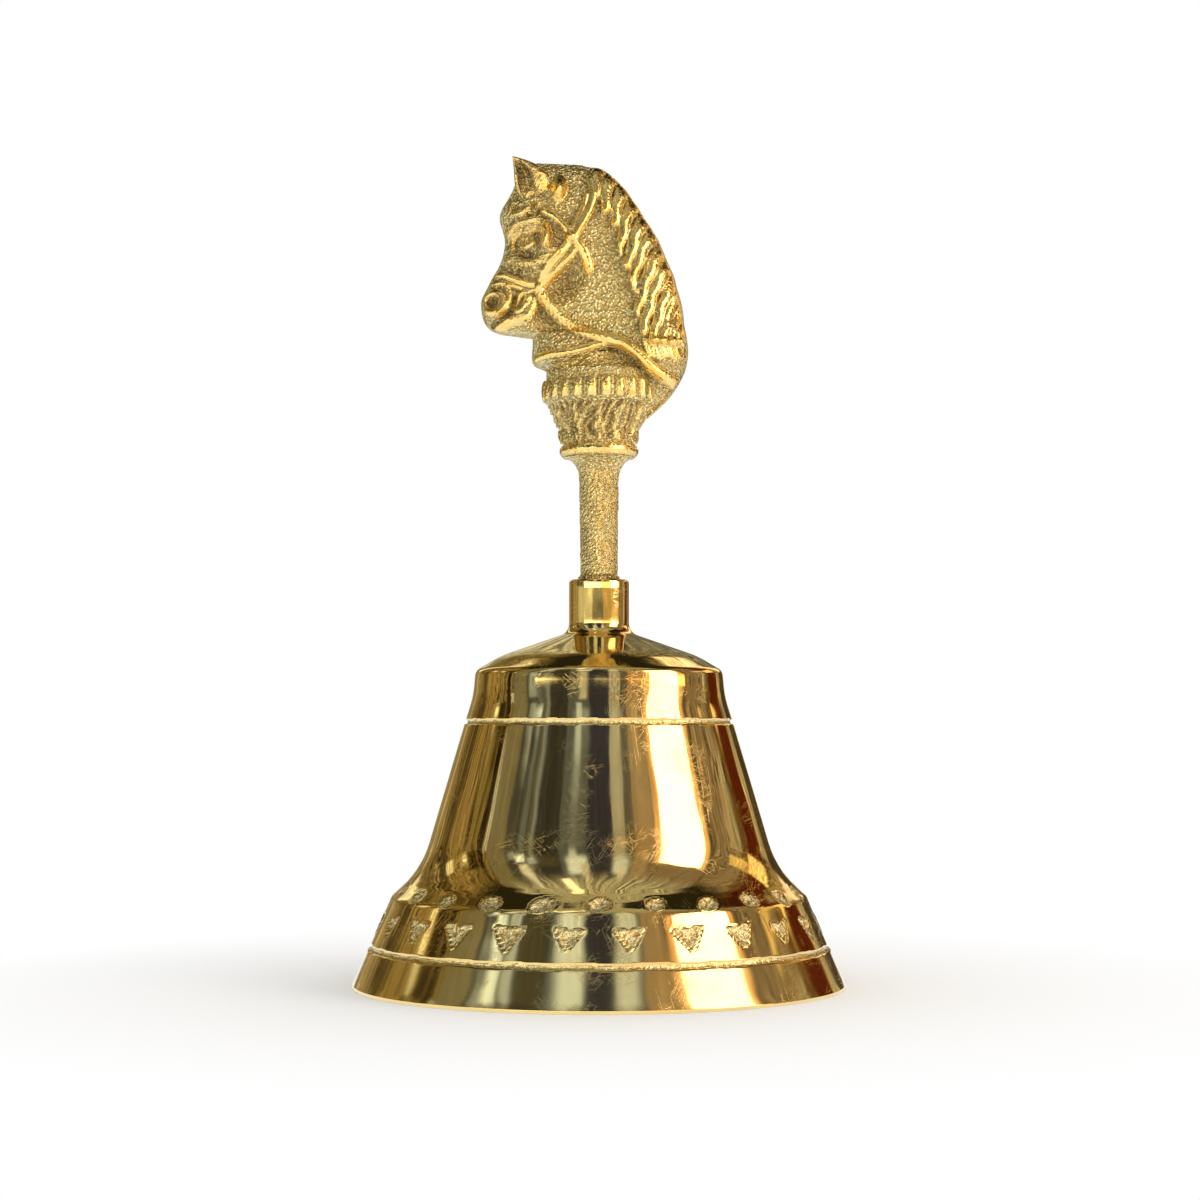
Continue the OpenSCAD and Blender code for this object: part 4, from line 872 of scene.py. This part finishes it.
# each board: degrees right of the camera, half its width, from and to which height, softness, cloth, light
boards = (
    # the room in front of the waist and shoulder
    (-76, 6, 13, 60, 3, straw, 0.21), (-61, 7, 13, 60, 3, grey, 0.075), (-56, 1.5, 13, 60, 1.5, cool, 0.16),
    (-47, 1.5, 13, 40, 1.5, cool, 0.26), (-37, 7.5, 13, 60, 2.5, grey, 0.045),
    (-23, 4, 13, 60, 3, cool, 0.13), (-14, 4, 13, 60, 2, cool, 0.12), (0, 8, 13, 60, 2, ink, 0.07),
    (14.5, 4.5, 13, 40, 1, grey, 0.44), (23, 3, 13, 60, 1.5, grey, 0.12), (35, 8.5, 13, 60, 2, tan, 0.37),
    (-63, 2, 11, 22, 4, cool, 0.39), (-64, 1.5, 30, 33, 2.5, cool, 0.4),
    (-19, 1.2, 33, 36, 2.5, cool, 0.67), (-15, 2, 13, 27, 3.5, grey, 0.54), (33, 1, 33, 36, 2.5, tan, 0.62),
    # silver sheets over the lip
    (-17, 4, 39, 52, 5.5, cool, 0.9), (16, 4, 39, 52, 5.5, cool, 0.77), (-58, 2, 33, 36, 3, cool, 1.28),
    (-49.5, 2, 35.5, 40, 1.5, cool, 0.59), (-38, 5, 38, 42, 5, straw, 0.08),
    (46, 5, 36.5, 42, 2, tan, 0.85), (66, 26, 40, 58, 5, tan, 0.25),
    # the window's warm frame, and low lights before the neck and the head
    (61.5, 19, 4, 39, 2.5, amber, 1.0), (48, 34, -20, 8, 1, olive, 0.5), (-60, 36, -20, 8, 1, straw, 0.64),
    (-24, 36, 8.5, 12.5, 1.2, straw, 3.4), (50, 38, 8.5, 12.5, 1.2, amber, 3.6),
    (-30, 50, -20, 3.5, 2, straw, 1.7), (55, 35, -20, 3.5, 2, amber, 2.3),
    (-5, 20, 5, 7.2, 0.8, straw, 0.18),
    # brown and red things on the right
    (86, 1.3, -10, 62, 1, olive, 0.1), (91, 3.5, -10, 60, 3, tan, 0.27), (103, 7, -10, 60, 4, tan, 0.28),
    (112, 2.5, -10, 18.5, 1.5, straw, 0.42), (118, 3, 8, 60, 3, amber, 0.15),
    (129, 8, 3, 60, 2, oxblood, 0.1), (129, 9, 18.5, 28, 1.5, olive, 1.45),
    (110, 8, 24, 29, 1.5, olive, 0.9), (143, 2, -10, 12, 1.5, straw, 0.42),
    (157, 9, -10, 12, 3, olive, 0.07), (147, 4, 15, 46, 2, olive, 0.37), (157, 4, 15, 46, 3, tan, 1.6),
    # greenish ones on the left and behind
    (-90, 1.3, -10, 62, 1, olive, 0.03), (-85.5, 1.2, 18, 24.5, 1, grey, 0.54),
    (-117, 14, 22.5, 29, 1.5, straw, 1.0), (-97, 3, 23.5, 34, 2, olive, 0.04),
    (-112, 3, -10, 60, 4, olive, 0.28), (-128, 2.5, -10, 60, 2, olive, 0.09),
    (-154, 3, 15, 46, 3, straw, 1.05), (-174, 5, 10, 44, 4, straw, 0.49), (178, 3, 10, 44, 3, olive, 0.1),
    (170, 3, 10, 44, 4, straw, 0.22),
    # pale ribs in the ceiling
    (-57, 1.5, 42, 74, 4, grey, 0.87), (-12, 1.5, 46, 78, 4, grey, 0.64), (18, 1.2, 48, 76, 4, grey, 0.77),
)


def fade(tree, value, start, end):
    """0 before start, 1 past end, smooth between them."""
    node = node_of(tree, "ShaderNodeMapRange", interpolation_type="SMOOTHSTEP", From_Min=start, From_Max=end)
    tree.links.new(value, node.inputs["Value"])
    return node.outputs[0]


def stripes_of(tree, across, scale, detail, rough):
    """Stripes of random width, side by side along one number."""
    noise = node_of(tree, "ShaderNodeTexNoise", noise_dimensions="1D", Scale=scale, Detail=detail,
                    Roughness=rough)
    tree.links.new(across, noise.inputs["W"])
    return noise.outputs["Fac"]


tent_cloth = bpy.data.materials.new("tent_cloth")
tent_cloth.use_nodes = True
tree = tent_cloth.node_tree
tree.nodes.remove(tree.nodes["Principled BSDF"])
where = tree.nodes.new("ShaderNodeTexCoord").outputs["Object"]
split = tree.nodes.new("ShaderNodeSeparateXYZ")
tree.links.new(where, split.inputs[0])
to_camera = times(tree, split.outputs[1], -1)
right_of = times(tree, sum_of(tree, split.outputs[0], to_camera, "ARCTAN2"), 180 / math.pi)
upward = sum_of(tree, times(tree, split.outputs[2], 1 / tent_r), 0, "ARCSINE")
upward = times(tree, upward, 180 / math.pi)
off_front = sum_of(tree, right_of, 0, "ABSOLUTE")
in_front = fade(tree, off_front, 85, 83)
on_right = fade(tree, split.outputs[0], -0.05, 0.05)
low = fade(tree, upward, 15, 7)
behind = blend_of(tree, on_right, blend_of(tree, low, (0.21, 0.16, 0.06), (0.33, 0.26, 0.12)),
                  blend_of(tree, low, (0.20, 0.15, 0.07), (0.62, 0.42, 0.18)))
sway = sum_of(tree, noise_of(tree, where, 260, detail=3), 0.5, "SUBTRACT")
slant = sum_of(tree, times(tree, upward, 0.22), times(tree, sway, 26))
planks = stripes_of(tree, sum_of(tree, right_of, slant), 0.30, 6, 0.7)
hung = sum_of(tree, right_of, times(tree, sway, 5))
reeds = ramp(tree, planks, [(0.40, 0.40), (0.5, 0.9), (0.60, 1.8)])
folds = ramp(tree, planks, [(0.36, 0.5), (0.64, 1.7)])
before = blend_of(tree, fade(tree, upward, 2, 12), (0.50, 0.42, 0.23), (0.10, 0.10, 0.09))
cloth = blend_of(tree, in_front, blend_of(tree, 1.0, behind, reeds, "MULTIPLY"),
                 blend_of(tree, 1.0, before, folds, "MULTIPLY"))
for middle, half, low, high, soft, tone, light in boards:
    off = sum_of(tree, sum_of(tree, hung, middle, "SUBTRACT"), 0, "ABSOLUTE")
    on_board = fade(tree, off, half + soft, half)
    for edge in (fade(tree, upward, low - soft, low), fade(tree, upward, high + soft, high)):
        on_board = times(tree, on_board, edge)
    cloth = blend_of(tree, on_board, cloth, [light * share for share in tone])
# fine threads run down all of it, plainer behind than in front
threads = stripes_of(tree, sum_of(tree, right_of, times(tree, slant, 1.6)), 0.7, 4, 0.6)
coarse_weave = ramp(tree, threads, [(0.38, 0.30), (0.5, 0.95), (0.62, 1.8)])
fine_weave = ramp(tree, threads, [(0.38, 0.72), (0.62, 1.28)])
cloth = blend_of(tree, 1.0, cloth, blend_of(tree, in_front, coarse_weave, fine_weave), "MULTIPLY")
# overhead the cloth is drawn together in folds, lit in front and dark behind
rays = ramp(tree, planks, [(0.40, 0.2), (0.5, 0.8), (0.60, 2.2)])
drawn = blend_of(tree, 1.0, (0.42, 0.41, 0.32), rays, "MULTIPLY")
cloth = blend_of(tree, fade(tree, upward, 50, 68), cloth, blend_of(tree, in_front, cloth, drawn))
dark_top = times(tree, fade(tree, upward, 46, 56), fade(tree, off_front, 84, 88))
cloth = blend_of(tree, dark_top, cloth, (0.022, 0.020, 0.010))
glow = node_of(tree, "ShaderNodeEmission", Strength=1.0)
tree.links.new(cloth, glow.inputs["Color"])
tree.links.new(glow.outputs[0], tree.nodes["Material Output"].inputs["Surface"])
tent.data.materials.append(tent_cloth)
tent.visible_camera = False
tent.visible_diffuse = False
tent.visible_shadow = False


def lamp(name, degrees, up, width, tall, radiance, colour):
    """A soft lamp, so many degrees right of the camera and up, that faces the bell and isn't seen itself."""
    data = bpy.data.lights.new(name, "AREA")
    data.shape = "RECTANGLE"
    data.size, data.size_y = width, tall
    data.energy = radiance * math.pi * width * tall
    data.color = colour
    light = bpy.data.objects.new(name, data)
    bpy.context.scene.collection.objects.link(light)
    a, e = math.radians(degrees), math.radians(up)
    light.location = (lamp_off * math.sin(a) * math.cos(e), -lamp_off * math.cos(a) * math.cos(e),
                      lamp_off * math.sin(e) + 0.04)
    light.rotation_euler = (bell_middle - light.location).to_track_quat("-Z", "Y").to_euler()
    light.visible_camera = False


lamp("window_lamp", 61.5, 22, 0.362, 0.41, 3.2, (1.0, 0.95, 0.88))
lamp("ceiling_lamp", -30, 66, 0.05, 0.22, 1.2, (1.0, 1.0, 0.88))

world = bpy.data.worlds.new("white_room")
bpy.context.scene.world = world
world.use_nodes = True
tree = world.node_tree
background = tree.nodes["Background"]
background.inputs["Color"].default_value = (1, 1, 1, 1)
tree.links.new(ramp(tree, seen_by(tree, *looks), [(0, 0.98), (1, 1.0)]), background.inputs["Strength"])
